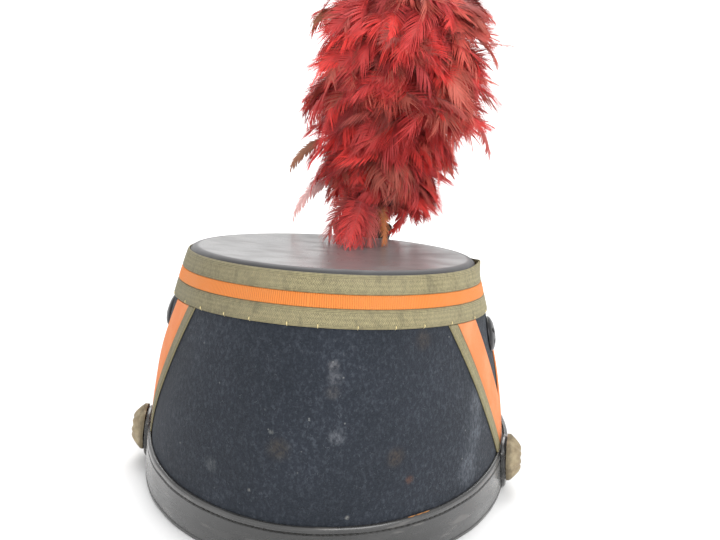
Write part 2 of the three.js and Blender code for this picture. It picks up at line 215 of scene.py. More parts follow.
def raise_surface(shader, wire, height, depth):
    """A Bump node on the Normal socket: height from 0 to 1 stands for a depth in metres."""
    sockets = {"Strength": 1.0, "Distance": depth, "Height": height}
    connect(shader, "Normal", wire.make("ShaderNodeBump", None, sockets))


def object_place(wire):
    return wire.make("ShaderNodeTexCoord", None, None, "Object")


def surface_place(wire):
    return wire.make("ShaderNodeTexCoord", None, None, "UV")


print("shader helper ready")

# %% [markdown]
# ## Meshes from arrays
# Every piece is a grid of points in millimetres, with an optional join of the last row or column to the
# first. The quads, the flat coordinates and the vertex colours are whole arrays that go into the mesh
# in one call each, which is much faster than adding faces one by one.

# %% Grid to mesh
MM = 0.001
MERGE_DISTANCE = 1e-6


def grid_quads(rows, columns, wrap):
    """Corner numbers of each quad between neighbouring rows and columns of a grid."""
    i = np.arange(rows if wrap[0] else rows - 1)[:, None]
    j = np.arange(columns if wrap[1] else columns - 1)[None, :]
    low, high = i * columns, ((i + 1) % rows) * columns
    right = (j + 1) % columns
    corners = np.broadcast_arrays(low + j, high + j, high + right, low + right)
    return np.stack(corners, axis=-1).reshape(-1, 4)


def grid_flat(flat, rows, columns, wrap):
    """Flat coordinates of each quad's corners, with one more row or column where the grid joins."""
    i = np.arange(rows if wrap[0] else rows - 1)
    j = np.arange(columns if wrap[1] else columns - 1)
    steps = [(0, 0), (1, 0), (1, 1), (0, 1)]
    return np.stack([flat[i + a][:, j + b] for a, b in steps], axis=2).reshape(-1, 2)


def new_piece(name, points, quads, finish, stands_for=(), flat=None, dye=None, crease=40.0):
    """A mesh object at the origin, in metres, that rides on the hat."""
    mesh = bpy.data.meshes.new(name)
    mesh.vertices.add(len(points))
    mesh.vertices.foreach_set("co", (points * MM).astype(np.float32).ravel())
    mesh.loops.add(quads.size)
    mesh.loops.foreach_set("vertex_index", quads.astype(np.int32).ravel())
    mesh.polygons.add(len(quads))
    mesh.polygons.foreach_set("loop_start", np.arange(0, quads.size, 4, dtype=np.int32))
    mesh.update(calc_edges=True)
    if flat is not None:
        layer = mesh.uv_layers.new(name="flat")
        layer.data.foreach_set("uv", flat.astype(np.float32).ravel())
    if dye is not None:
        layer = mesh.color_attributes.new("dye", "FLOAT_COLOR", "POINT")
        layer.data.foreach_set("color", dye.astype(np.float32).ravel())
    mesh.shade_smooth()
    mesh.set_sharp_from_angle(angle=np.radians(crease))
    mesh.materials.append(finish)
    piece = bpy.data.objects.new(name, mesh)
    bpy.context.scene.collection.objects.link(piece)
    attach(piece, "root")
    if stands_for:
        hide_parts(*stands_for)
    print(f"{name}: {len(quads)} quads")
    return piece


def signed_volume(points, quads):
    """Volume inside closed faces, from the two triangles of each quad; negative if turned inside out."""
    a, b, c, d = (points[quads[:, k]] for k in range(4))
    halves = np.cross(b, c) + np.cross(c, d)
    return np.einsum("ij,ij->", a, halves) / 6.0


def solid_piece(name, grid, finish, stands_for=(), flat=None, wrap=(False, True), crease=40.0):
    """A closed grid as a piece, with its faces turned outwards and its pole rows merged."""
    rows, columns = grid.shape[:2]
    points = grid.reshape(-1, 3)
    quads = grid_quads(rows, columns, wrap)
    corners = None if flat is None else grid_flat(flat, rows, columns, wrap)
    if signed_volume(points, quads) < 0:
        quads = quads[:, ::-1]
        corners = None if flat is None else corners.reshape(-1, 4, 2)[:, ::-1].reshape(-1, 2)
    piece = new_piece(name, points, quads, finish, stands_for, corners, None, crease)
    if not wrap[0]:
        merge_poles(piece)
    return piece


def ribbon_quads(count, stations):
    """Quads along each of many ribbons of paired edge points."""
    first = np.arange(count)[:, None] * 2 * stations + 2 * np.arange(stations - 1)[None, :]
    return np.stack([first, first + 1, first + 3, first + 2], -1).reshape(-1, 4)


def merge_poles(piece):
    """Merges the vertices of a row that was drawn together to one point."""
    mesh = bmesh.new()
    mesh.from_mesh(piece.data)
    bmesh.ops.remove_doubles(mesh, verts=mesh.verts, dist=MERGE_DISTANCE)
    mesh.to_mesh(piece.data)
    mesh.free()


print("mesh helpers ready")

# %% [markdown]
# ## The crown's surface
# A felt crown is blocked on a wooden form, so it is an oval that narrows upwards with a slight swell,
# cut off by a slanted plane. One function gives that surface, and every stripe, band and boss is laid
# on it with an offset. A few slow waves stand for the small dents of an old hat.

# %% Crown surface as a function
RIM_HALF_WIDTH, RIM_HALF_LENGTH = 84.6, 101.6
TOP_HALF_WIDTH, TOP_HALF_LENGTH = 64.8, 91.0
SIDE_BULGE, END_BULGE = 4.2, 8.0
TOP_SHIFT = 2.0
CROWN_HEIGHT, TOP_SLOPE = 110.0, 0.226
GAP = 0.3
DENT_DEPTH = 0.35
LEVEL_PASSES = 5


def top_height(y):
    return CROWN_HEIGHT + TOP_SLOPE * y


def half_length(t):
    return RIM_HALF_LENGTH + (TOP_HALF_LENGTH - RIM_HALF_LENGTH) * t + END_BULGE * 4 * t * (1 - t)


def dents(theta, t):
    """Slow waves round the crown that fade out at the rim and at the top."""
    waves = np.sin(3 * theta + 1.0 + 2 * t) + 0.6 * np.sin(7 * theta + 4 * t) + 0.4 * np.sin(11 * theta)
    return DENT_DEPTH * waves * np.sin(np.pi * np.clip(t, 0, 1))


def crown(theta, t, offset=0.0):
    """Oval with half axes that run straight from rim to top, plus a swell of 4t(1-t), an offset outwards
    and the dents. The height is t times the slanted top's height over that point."""
    theta, t, offset = np.broadcast_arrays(theta, t, offset)
    half_width = RIM_HALF_WIDTH + (TOP_HALF_WIDTH - RIM_HALF_WIDTH) * t + SIDE_BULGE * 4 * t * (1 - t)
    out = offset + dents(theta, t)
    y = TOP_SHIFT * t + (half_length(t) + out) * np.cos(theta)
    return np.stack([(half_width + out) * np.sin(theta), y, t * top_height(y)], axis=-1)


def level_from_rim(theta, rise):
    """Level t at a rise above the rim; the height depends on t a little, so it is found in passes."""
    t = 0.0 * (theta + rise)
    for _ in range(LEVEL_PASSES):
        t = rise / top_height(TOP_SHIFT * t + half_length(t) * np.cos(theta))
    return t


def level_from_top(theta, drop):
    """Level t at a drop below the top plane, found in the same passes."""
    t = 1.0 + 0.0 * (theta + drop)
    for _ in range(LEVEL_PASSES):
        t = 1 - drop / top_height(TOP_SHIFT * t + half_length(t) * np.cos(theta))
    return t


def out_of_crown(theta, t, step=0.002):
    """Unit vectors along the crown, up it and out of it, from differences of nearby points."""
    along = crown(theta + step, t) - crown(theta - step, t)
    up = crown(theta, t + step) - crown(theta, t - step)
    along = along / np.linalg.norm(along, axis=-1, keepdims=True)
    up = up / np.linalg.norm(up, axis=-1, keepdims=True)
    out = np.cross(up, along)
    return along, up, out / np.linalg.norm(out, axis=-1, keepdims=True)


def lengths_along(points):
    """Distance along a row of points, starting at 0."""
    return np.concatenate([[0.0], np.cumsum(np.linalg.norm(np.diff(points, axis=0), axis=1))])


def hoop(name, level, offsets, steps, finish, stands_for, crease=40.0):
    """A closed profile carried round the crown. Level gives the profile's levels at each angle, and the
    flat coordinates are millimetres round the crown and along the profile."""
    theta = np.linspace(0, 2 * np.pi, steps, endpoint=False)[:, None]
    grid = crown(theta, level(theta), offsets(theta))
    closed_ring = np.concatenate([grid[:, 0], grid[:1, 0]])
    closed_profile = np.concatenate([grid[0], grid[0, :1]])
    round_crown, along_profile = lengths_along(closed_ring), lengths_along(closed_profile)
    flat = np.stack(np.meshgrid(round_crown, along_profile, indexing="ij"), -1)
    return solid_piece(name, grid, finish, stands_for, flat, (True, True), crease)


print("height of the top plane at the rear edge, mm:", round(top_height(half_length(1.0)), 1))

# %% [markdown]
# ## Felt
# The crown is thick wool felt in a navy that is nearly black. It could be a plain dark colour, but real
# felt has a fuzzy bump, paler worn clouds, and dust and lint that stand out. The marks are placed by
# angle and height: a rust spot, grey smudges, brown patches and pale specks. Dust flecks also thicken
# towards the wearer's right side, partly as dust and partly as painted light where the key light falls.

# %% Felt finish
MARKS = [
    {"angle": -33, "rise": 39, "radius": 0.0030, "tint": colour(0.13, 0.055, 0.03)},
    {"angle": -10.5, "rise": 63, "radius": 0.005, "tint": colour(0.14, 0.15, 0.17)},
    {"angle": -28.5, "rise": 51, "radius": 0.006, "tint": colour(0.06, 0.042, 0.03)},
    {"angle": 6.5, "rise": 56, "radius": 0.007, "tint": colour(0.05, 0.04, 0.03)},
    {"angle": -9, "rise": 93, "radius": 0.0035, "tint": colour(0.15, 0.15, 0.16)},
    {"angle": -9.5, "rise": 88, "radius": 0.0045, "tint": colour(0.12, 0.125, 0.14)},
    {"angle": -9, "rise": 82, "radius": 0.004, "tint": colour(0.09, 0.085, 0.085)},
    {"angle": 29, "rise": 40, "radius": 0.005, "tint": colour(0.10, 0.11, 0.12)},
    {"angle": -40, "rise": 98, "radius": 0.006, "tint": colour(0.06, 0.045, 0.035)},
    {"angle": -64, "rise": 59, "radius": 0.011, "tint": colour(0.14, 0.155, 0.18)},
    {"angle": -62, "rise": 46, "radius": 0.011, "tint": colour(0.11, 0.125, 0.15)},
    {"angle": -57, "rise": 32, "radius": 0.012, "tint": colour(0.12, 0.135, 0.16)},
    {"angle": 9, "rise": 63, "radius": 0.0016, "tint": colour(0.22, 0.23, 0.22)},
    {"angle": 15, "rise": 34.6, "radius": 0.0012, "tint": colour(0.25, 0.25, 0.24)},
    {"angle": -14, "rise": 25.5, "radius": 0.0014, "tint": colour(0.30, 0.30, 0.28)},
]
FELT_DEEP, FELT_CLOUD = colour(0.0065, 0.0102, 0.017), colour(0.013, 0.0175, 0.0275)
FELT_FUZZ, FELT_DUST = colour(0.024, 0.031, 0.044), colour(0.10, 0.115, 0.14)
FELT_SPECK = colour(0.20, 0.21, 0.21)
FUZZ_DEPTH = 0.0005


def felt_place(angle, rise):
    theta = np.radians(angle)
    return tuple(float(x) for x in crown(theta, level_from_rim(theta, rise)) * MM)


def navy_felt():
    material, shader, wire = new_finish("navy_felt", roughness=0.95, sheen_weight=0.03, sheen_roughness=0.5)
    place = object_place(wire)
    fuzz = place.noise(scale=1500.0, detail=3.0, roughness=0.7)
    cloud = place.noise(scale=30.0, detail=5.0, roughness=0.65)
    fleck = place.stretched(1.0, 1.0, 1.4).noise(scale=620.0, detail=5.0, roughness=0.72)
    # painted light: dust flecks grow denser towards the wearer's right (-X), partly dust and partly painted
    # light on the lit side
    dust_and_lit_side = 1.0 - place.part("X").between(-0.086, -0.05)
    dust = fleck.between(0.44, 0.8) * (0.46 + 0.45 * cloud.between(0.4, 0.72) + 0.7 * dust_and_lit_side)
    base = cloud.between(0.3, 0.75).blend(FELT_DEEP, FELT_CLOUD)
    base = fuzz.between(0.35, 0.85).blend(base, FELT_FUZZ)
    base = (dust * 0.75).blend(base, FELT_DUST)
    for mark in MARKS:
        spot = place.near(felt_place(mark["angle"], mark["rise"]), mark["radius"])
        base = (spot * fleck.between(0.3, 0.65) * 0.7).blend(base, mark["tint"])
    speck_sockets = {"Vector": place, "Scale": 190.0}
    speck = 1.0 - wire.make("ShaderNodeTexVoronoi", None, speck_sockets, "Distance").between(0.04, 0.11)
    chance = place.noise(scale=60.0, detail=0.0).between(0.58, 0.66)
    base = (speck * chance * 0.7).blend(base, FELT_SPECK)
    connect(shader, "Base Color", base)
    raise_surface(shader, wire, fuzz + fleck * 0.6 + cloud * 2.0, FUZZ_DEPTH)
    return material


FELT = navy_felt()
print("felt marks:", len(MARKS))

# %% [markdown]
# ### The felt wall
# The wall is an open tube, 2.5 mm thick, that stands just clear of the floor inside the head band. It is
# one closed profile, up the outside and down the inside, carried round the crown.

# %% Felt wall
FELT_THICKNESS = 2.5
FELT_LIFT = 0.4
TOP_THICKNESS = 2.2
WALL_OUTER, WALL_INNER = 50, 14
AROUND = 240


def wall_levels(theta):
    foot = level_from_rim(theta, FELT_LIFT)
    head = level_from_top(theta, TOP_THICKNESS + GAP)
    share = np.concatenate([np.linspace(0, 1, WALL_OUTER), np.linspace(1, 0, WALL_INNER)])
    return foot + (head - foot) * share


def wall_offsets(theta):
    return np.concatenate([np.zeros(WALL_OUTER), np.full(WALL_INNER, -FELT_THICKNESS)])


hoop("felt_wall", wall_levels, wall_offsets, AROUND, FELT, ["crown_wall"])

# %% [markdown]
# ### Lint on the felt
# Wool felt sheds pale fibres. They are short bent ribbons laid on the wall in random directions, all made
# in one array: a middle line of three points for each fibre, and its width to either side.

# %% Lint fibres
RNG = np.random.default_rng(41)
LINT_COUNT = 3200
LINT_LENGTH = (0.4, 1.7)
LINT_HALF_WIDTH = 0.03
LINT_LEVELS = (0.2, 0.78)
LINT_LEAN, LINT_BEND = 0.8, 0.25
LINT_LIFT = {"start": 0.08, "middle": 0.12, "end": 0.05}
LINT_DARK, LINT_PALE = colour(0.035, 0.042, 0.055), colour(0.19, 0.20, 0.22)


def lint_finish():
    material, shader, wire = new_finish("lint", roughness=0.9)
    tint = object_place(wire).noise(scale=300.0, detail=1.0)
    connect(shader, "Base Color", tint.between(0.3, 0.8).blend(LINT_DARK, LINT_PALE))
    return material


def lint():
    """Each fibre starts at a random place, runs along a random direction in the wall and lifts off a
    little in the middle; its ribbon is as wide as twice the half width."""
    theta = RNG.uniform(0, 2 * np.pi, LINT_COUNT)
    t = RNG.uniform(*LINT_LEVELS, LINT_COUNT)
    along, up, out = out_of_crown(theta, t)
    turn_angle = RNG.normal(np.pi / 2, LINT_LEAN, LINT_COUNT)[:, None]
    way = np.cos(turn_angle) * along + np.sin(turn_angle) * up
    across = np.cross(out, way)
    length = RNG.uniform(*LINT_LENGTH, LINT_COUNT)[:, None]
    bend = RNG.normal(0, LINT_BEND, LINT_COUNT)[:, None]
    start = crown(theta, t) + out * LINT_LIFT["start"]
    middle = start + way * length * 0.5 + across * bend * length + out * LINT_LIFT["middle"]
    end = start + way * length + out * LINT_LIFT["end"]
    line = np.stack([start, middle, end], axis=1)
    width = LINT_HALF_WIDTH * across[:, None, :]
    points = np.stack([line - width, line + width], axis=2).reshape(-1, 3)
    quads = ribbon_quads(LINT_COUNT, line.shape[1])
    return new_piece("felt_lint", points, quads, lint_finish())


lint()

# %% [markdown]
# ## Leather
# The top and the peak are varnished leather, and the band, strap and socket are plain black leather,
# grey with wear. Leather could be one black gloss, but the wear shows in how the gloss breaks: fine
# grain, long rubs and dull dusty patches change the roughness more than the colour. The top's rounded
# edge is the dullest place and is also painted darker as shade, and the plume's cup is matt.

# %% Leather finishes


def worn_leather(name, dark, pale, gloss, dull, depth, dust, ior=1.8, shaded_dull_edge=False):
    """Worn places are paler and duller than the rest, with fine grain and a few scratches. A dull edge
    follows the oval of the top: it is rougher there and painted darker, as shade on the rolled edge."""
    material, shader, wire = new_finish(name, ior=ior, sheen_weight=dust, sheen_roughness=0.35)
    place = object_place(wire)
    grain = place.noise(scale=1100.0, detail=3.0, roughness=0.6)
    rub = place.stretched(1.0, 1.0, 0.25).noise(scale=55.0, detail=4.0, roughness=0.6)
    patch = place.noise(scale=14.0, detail=3.0)
    scratch = place.stretched(6.0, 6.0, 1.0).noise(scale=300.0, detail=1.0).between(0.64, 0.7)
    wear = rub.between(0.4, 0.75) * 0.7 + patch.between(0.45, 0.7) * 0.3
    base = wear.blend(colour(*dark), colour(*pale))
    base = (scratch * 0.35).blend(base, colour(0.16, 0.15, 0.14))
    rough = gloss + (dull - gloss) * wear + grain * 0.06
    if shaded_dull_edge:
        across = place.part("X") / (TOP_HALF_WIDTH * MM)
        along = (place.part("Y") - TOP_SHIFT * MM) / (TOP_HALF_LENGTH * MM)
        edge = (across * across + along * along).between(0.89, 0.96)
        # painted shade: the rolled edge of the top is coloured darker here, standing in for the shadow
        # along it
        base = (edge * 0.8).blend(base, colour(0.014, 0.014, 0.017))
        rough = rough + edge * 0.35
    connect(shader, "Base Color", base)
    connect(shader, "Roughness", rough)
    raise_surface(shader, wire, grain + rub * 1.5, depth)
    return material


PLAIN = {
    "dark": (0.020, 0.020, 0.020),
    "pale": (0.042, 0.041, 0.040),
    "gloss": 0.20,
    "dull": 0.36,
    "depth": 0.00002,
    "dust": 0.25,
}
VARNISH = {
    "dark": (0.020, 0.015, 0.015),
    "pale": (0.045, 0.036, 0.035),
    "gloss": 0.25,
    "dull": 0.40,
    "depth": 0.00001,
    "dust": 0.14,
}
CUP = {
    "dark": (0.020, 0.016, 0.013),
    "pale": (0.05, 0.038, 0.03),
    "gloss": 0.6,
    "dull": 0.8,
    "depth": 0.00003,
    "dust": 0.0,
    "ior": 1.35,
}
BAND_LEATHER = worn_leather("band_leather", **PLAIN)
VARNISHED = worn_leather("varnished_leather", **VARNISH)
TOP_LEATHER = worn_leather("top_leather", shaded_dull_edge=True, **VARNISH)
SOCKET_LEATHER = worn_leather("socket_leather", **CUP)
print("leathers:", BAND_LEATHER.name, VARNISHED.name, SOCKET_LEATHER.name)

# %% [markdown]
# ### The top
# The leather top is a shallow dish with a rounded edge. As a polar grid it runs from a pole on its
# underside, round the edge and back to a pole on its upper side.

# %% Leather top
TOP_DISH = 1.5
TOP_SHARES = np.array([0.0, 0.3, 0.6, 0.85, 1.0])
EDGE_STEPS, DISH_ROWS = 7, 16


def leather_top():
    """Underside and upper side are the top oval shrunk towards its middle and sunk by a parabola; the
    edge between them is a quarter circle as deep as the leather is thick."""
    theta = np.linspace(0, 2 * np.pi, AROUND, endpoint=False)
    middle = np.array([0.0, TOP_SHIFT, top_height(TOP_SHIFT)])
    rim = crown(theta, np.ones_like(theta), -TOP_THICKNESS)

    def dish(share, sunk):
        share = np.asarray(share)[:, None, None]
        rows = middle + (rim[None] - middle) * share
        rows[..., 2] -= (TOP_DISH * (1 - share ** 2) + sunk)[..., 0]
        return rows

    arc = np.linspace(0, np.pi / 2, EDGE_STEPS)[:, None]
    inset = TOP_THICKNESS * (1 - np.cos(arc))
    drop = TOP_THICKNESS * (1 - np.sin(arc))
    edge = crown(theta[None], level_from_top(theta[None], drop), -inset)
    smooth = np.linspace(1.0, 0.0, DISH_ROWS)[1:]
    return np.concatenate([dish(TOP_SHARES, TOP_THICKNESS), edge, dish(smooth, 0.0)])


solid_piece("leather_top", leather_top(), TOP_LEATHER, ["crown_top"], crease=60.0)

# %% [markdown]
# ### The head band
# A leather band is sewn round the foot of the crown. Its upper edge is turned over in a thin welt with a
# groove below it, and a narrow binding runs along the bottom. All of that is in the profile, as rows of
# height and offset, so no bump has to pretend it.

# %% Head band
BAND_THICKNESS, BAND_RIPPLE = 1.8, 0.12
BAND_PROFILE = [
    {"rise": 0.0, "out": 0.9},
    {"rise": 0.4, "out": 1.7},
    {"rise": 1.6, "out": 1.85},
    {"rise": 2.0, "out": 1.45},
    {"rise": 2.5, "out": 1.7},
    {"rise": 10.0, "out": 1.8},
    {"rise": 17.4, "out": 1.75},
    {"rise": 17.9, "out": 1.1},
    {"rise": 18.3, "out": 1.1},
    {"rise": 18.8, "out": 1.75},
    {"rise": 20.2, "out": 1.8},
    {"rise": 21.1, "out": 1.5},
    {"rise": 21.5, "out": 0.8},
    {"rise": 21.4, "out": 0.0},
    {"rise": 10.0, "out": 0.0},
    {"rise": 0.0, "out": 0.0},
]
BAND_RISE = np.array([row["rise"] for row in BAND_PROFILE])
BAND_OUT = np.array([row["out"] for row in BAND_PROFILE])


def band_levels(theta):
    return level_from_rim(theta, np.broadcast_to(BAND_RISE, (len(theta), len(BAND_RISE))))


def band_offsets(theta):
    ripple = BAND_RIPPLE * np.sin(23 * theta) * np.sin(5 * theta)
    return GAP + BAND_OUT + ripple * (BAND_OUT > 0.5)


hoop("head_band", band_levels, band_offsets, AROUND, BAND_LEATHER, ["headband"], 50.0)

# %% [markdown]
# ### Strap, peak and socket
# The strap runs from boss to boss round the front, with a rounded tab at each end. The peak is a crescent
# that slopes down from the band. Both are a rounded section carried along the front of the band, and
# their end sections are drawn together to a point so that the solid closes.

# %% Chin strap
STRAP_RISE, STRAP_HALF, STRAP_THICKNESS = 16.3, 5.4, 1.6
BOSS_ANGLE = 85.0
TAB_HALF_HEIGHT, TAB_HALF_ANGLE, TAB_DROP = 12.8, 5.5, 3.0
TAB_REACH, TAB_STEPS, STRAP_STEPS = 1.2, 30, 120
STRAP_INSIDE = 2 * GAP + BAND_THICKNESS
ROUNDED = np.array([(-1.0, 0.0), (-1.0, 0.6), (-0.9, 1.0), (-0.5, 1.0), (0.0, 1.0),
                    (0.5, 1.0), (0.9, 1.0), (1.0, 0.6), (1.0, 0.0), (0.0, 0.0)])


def close_ends(grid):
    """Adds the middle of the first and of the last section as a row drawn to one point."""
    middle = grid.mean(axis=1, keepdims=True).repeat(grid.shape[1], axis=1)
    return np.concatenate([middle[:1], grid, middle[-1:]])


def chin_strap():
    """The section's half height is that of an ellipse under the bosses and constant elsewhere."""
    tab = np.linspace(-1.0, TAB_REACH, TAB_STEPS)
    near_tab = BOSS_ANGLE + tab * TAB_HALF_ANGLE
    run = np.linspace(near_tab[-1], 360 - near_tab[-1], STRAP_STEPS)[1:-1]
    angle = np.concatenate([near_tab, run, 360 - near_tab[::-1]])
    share = np.minimum(np.abs(angle - BOSS_ANGLE), np.abs(angle - 360 + BOSS_ANGLE)) / TAB_HALF_ANGLE
    half = np.maximum(TAB_HALF_HEIGHT * np.sqrt(np.clip(1 - share ** 2, 0, 1)), STRAP_HALF)
    theta = np.radians(angle)[:, None]
    drop = TAB_DROP * (half - STRAP_HALF) / (TAB_HALF_HEIGHT - STRAP_HALF)
    rise = STRAP_RISE - drop[:, None] + half[:, None] * ROUNDED[:, 0]
    grid = crown(theta, level_from_rim(theta, rise), STRAP_INSIDE + STRAP_THICKNESS * ROUNDED[:, 1])
    return close_ends(grid)


solid_piece("strap", chin_strap(), BAND_LEATHER, ["chin_strap"], crease=50.0)

# %% Peak
PEAK_REACH, PEAK_TIP_REACH, PEAK_HALF_ANGLE = 43.0, 1.2, 68.0
PEAK_ROOT, PEAK_EDGE, PEAK_THICKNESS, PEAK_CURVE = 6.4, 1.0, 2.2, 1.4
PEAK_STEPS = 90
UNDER_SHARES = np.array([0.0, 0.2, 0.4, 0.6, 0.8, 0.92, 0.97, 0.99])
PEAK_SHARES = np.concatenate([UNDER_SHARES, [1.0], UNDER_SHARES[::-1]])
PEAK_LIFT = np.array([0.0] * 7 + [0.12, 0.5, 0.88] + [1.0] * 7)


def peak():
    """Across the peak the height falls by a power of the share of its reach; the reach is a cosine of
    the angle, so the outline is a crescent."""
    along = np.linspace(-1, 1, PEAK_STEPS)[:, None]
    theta = np.pi + np.radians(along * PEAK_HALF_ANGLE)
    reach = PEAK_TIP_REACH + (PEAK_REACH - PEAK_TIP_REACH) * np.cos(along * np.pi / 2)
    fall = (PEAK_ROOT - PEAK_EDGE) * reach / PEAK_REACH
    level = level_from_rim(theta, PEAK_ROOT + PEAK_THICKNESS)
    grid = crown(theta, level, STRAP_INSIDE + reach * PEAK_SHARES)
    grid[..., 2] = PEAK_ROOT - fall * PEAK_SHARES ** PEAK_CURVE + PEAK_LIFT * PEAK_THICKNESS
    return close_ends(grid)


solid_piece("visor", peak(), VARNISHED, ["peak"], crease=60.0)

# %% Plume socket
PLUME_FOOT = np.array([-4.0, -102.8, 93.0])
SOCKET_FLATTEN = 0.58
SOCKET_SIDES = 64
SOCKET_PROFILE = np.array([(0.0, -20.0), (8.2, -20.0), (9.0, -19.4), (12.0, -14.0), (14.25, -9.0),
                           (15.6, -4.0), (16.0, -2.0), (15.8, -0.6), (15.0, 0.0), (8.2, 0.0), (7.6, -0.6),
                           (7.6, -16.0), (0.0, -16.0)])


def plume_socket():
    """The profile of radius and height turned about the stem and flattened from front to rear."""
    angle = np.linspace(0, 2 * np.pi, SOCKET_SIDES, endpoint=False)[None, :]
    radius, height = SOCKET_PROFILE[:, :1], SOCKET_PROFILE[:, 1:]
    across, deep = radius * np.cos(angle), SOCKET_FLATTEN * radius * np.sin(angle)
    return np.stack(np.broadcast_arrays(across, deep, height), -1) + PLUME_FOOT


solid_piece("socket", plume_socket(), SOCKET_LEATHER, ["plume_socket"], crease=50.0)

# %% [markdown]
# ## Lace and ribbon
# The top carries woven lace: two olive stripes with an orange ribbed ribbon between them. Olive lace also
# edges the orange cloth of the side chevrons. The weave follows each stripe, so its pattern reads the
# flat coordinates in millimetres: a fine herringbone with straight selvedge threads along both edges and
# a gold thread at the foot. The lace towards the wearer's left is painted darker, as shade away from the
# key light.

# %% Woven finishes


def olive_lace(name, width):
    """Herringbone in the middle of a stripe and straight threads along its edges."""
    material, shader, wire = new_finish(name, roughness=0.75)
    flat = surface_place(wire)
    round_crown, across = flat.part("X"), flat.part("Y")
    slant = across.zigzag(2.0) * 1.0
    twill = (round_crown + slant).zigzag(1.0)
    threads = across.zigzag(0.62)
    selvedge = across.between(1.3, 1.45) * (1.0 - across.between(width - 1.45, width - 1.3))
    lines = across.zigzag(1.9)
    weave = threads * (1.0 - selvedge) + (twill * 0.75 + lines * 0.25) * selvedge
    place = object_place(wire)
    mottle = place.noise(scale=900.0, detail=3.0, roughness=0.7).between(0.35, 0.7)
    upright = place.stretched(1.0, 1.0, 3.0)
    smudge = upright.noise(scale=240.0, detail=4.0, roughness=0.65).between(0.48, 0.76)
    age = place.noise(scale=20.0, detail=2.0).between(0.35, 0.7)
    # painted shade: the lace darkens towards the wearer's left (+X), away from the key light
    shaded_left = place.part("X").between(0.0, 0.07)
    base = (weave * 0.7 + mottle * 0.3).blend(colour(0.105, 0.092, 0.046), colour(0.46, 0.40, 0.215))
    base = (age * 0.35).blend(base, colour(0.32, 0.285, 0.18))
    base = (smudge * 0.6).blend(base, colour(0.12, 0.105, 0.06))
    base = (shaded_left * 0.4).blend(base, colour(0.10, 0.09, 0.06))
    gold_edge = 1.0 - across.between(0.25, 0.45)
    base = (gold_edge * 0.5).blend(base, colour(0.50, 0.42, 0.21))
    connect(shader, "Base Color", base)
    raise_surface(shader, wire, weave, 0.00022)
    return material


def ribbed_ribbon():
    """Ribs that stand across the ribbon, with worn and darker places."""
    material, shader, wire = new_finish("ribbed_ribbon", roughness=0.75)
    flat = surface_place(wire)
    ribs = flat.part("X").zigzag(0.95)
    threads = flat.part("Y").zigzag(0.35)
    place = object_place(wire)
    age = place.noise(scale=40.0, detail=4.0, roughness=0.6).between(0.35, 0.75)
    base = ribs.between(0.0, 0.8).blend(colour(0.70, 0.185, 0.028), colour(0.88, 0.27, 0.045))
    base = (age * 0.4).blend(base, colour(0.70, 0.27, 0.08))
    connect(shader, "Base Color", base)
    raise_surface(shader, wire, ribs + threads * 0.3, 0.0003)
    return material


def orange_cloth():
    """A plain weave of fine threads on orange wool cloth with a slight nap."""
    material, shader, wire = new_finish("orange_cloth", roughness=0.85)
    place = object_place(wire)
    flat = surface_place(wire)
    weave = flat.part("X").zigzag(0.55) * flat.part("Y").zigzag(0.55)
    age = place.noise(scale=55.0, detail=4.0, roughness=0.6).between(0.4, 0.75)
    base = weave.blend(colour(0.80, 0.235, 0.075), colour(0.90, 0.31, 0.11))
    base = (age * 0.5).blend(base, colour(0.88, 0.40, 0.20))
    connect(shader, "Base Color", base)
    raise_surface(shader, wire, weave + place.noise(scale=1400.0, detail=2.0), 0.0002)
    return material


LACE_WIDTH, RIBBON_WIDTH = 8.0, 5.6
CHEVRON_LACE_WIDTH = 5.6
OLIVE = olive_lace("olive_lace", LACE_WIDTH)
OLIVE_EDGE = olive_lace("olive_edging", CHEVRON_LACE_WIDTH)
RIBBED = ribbed_ribbon()
CLOTH = orange_cloth()
print("weaves:", OLIVE.name, RIBBED.name, CLOTH.name)

# %% [markdown]
# ### The three stripes
# Each stripe is a thin strip with soft edges. The upper one has come loose at the wearer's right, where
# its edge stands away from the top, so its offset grows there by a bell curve of the angle.

# %% Stripes round the top
LACE_THICKNESS = 0.9
LACE_START = 1.8
STRIPE_SHARES = np.array([0.0, 0.03, 0.1, 0.3, 0.5, 0.7, 0.9, 0.97, 1.0, 1.0, 0.5, 0.0])
STRIPE_OUT = np.array([0.5, 0.85, 1.0, 1.0, 1.0, 1.0, 1.0, 0.85, 0.5, 0.0, 0.0, 0.0])
LOOSE_ANGLE, LOOSE_SPREAD, LOOSE_LIFT, LOOSE_RISE = -90.0, 11.0, 2.2, 1.7
STRIPE_STEPS = 480
SEAM, PUCKER = 0.12, 0.10


def loose_edge(theta):
    """A bell curve of the angle from where the lace has come loose."""
    degrees = np.degrees((theta + np.pi) % (2 * np.pi) - np.pi)
    return np.exp(-((degrees - LOOSE_ANGLE) / LOOSE_SPREAD) ** 2)


def stripe(name, upper, lower, finish, node, loose=0.0):
    """A strip between two drops below the top plane, with shares that climb its outer face."""

    def levels(theta):
        raised = loose * LOOSE_RISE * loose_edge(theta) * STRIPE_SHARES ** 2
        drop = lower + SEAM + (upper - lower - 2 * SEAM) * STRIPE_SHARES - raised
        return level_from_top(theta, drop)

    def offsets(theta):
        pucker = PUCKER * np.sin(31 * theta) * np.sin(9 * theta + 1)
        lift = loose * LOOSE_LIFT * loose_edge(theta) * STRIPE_SHARES ** 2
        return GAP + LACE_THICKNESS * STRIPE_OUT + pucker * STRIPE_OUT + lift

    return hoop(name, levels, offsets, STRIPE_STEPS, finish, [node])


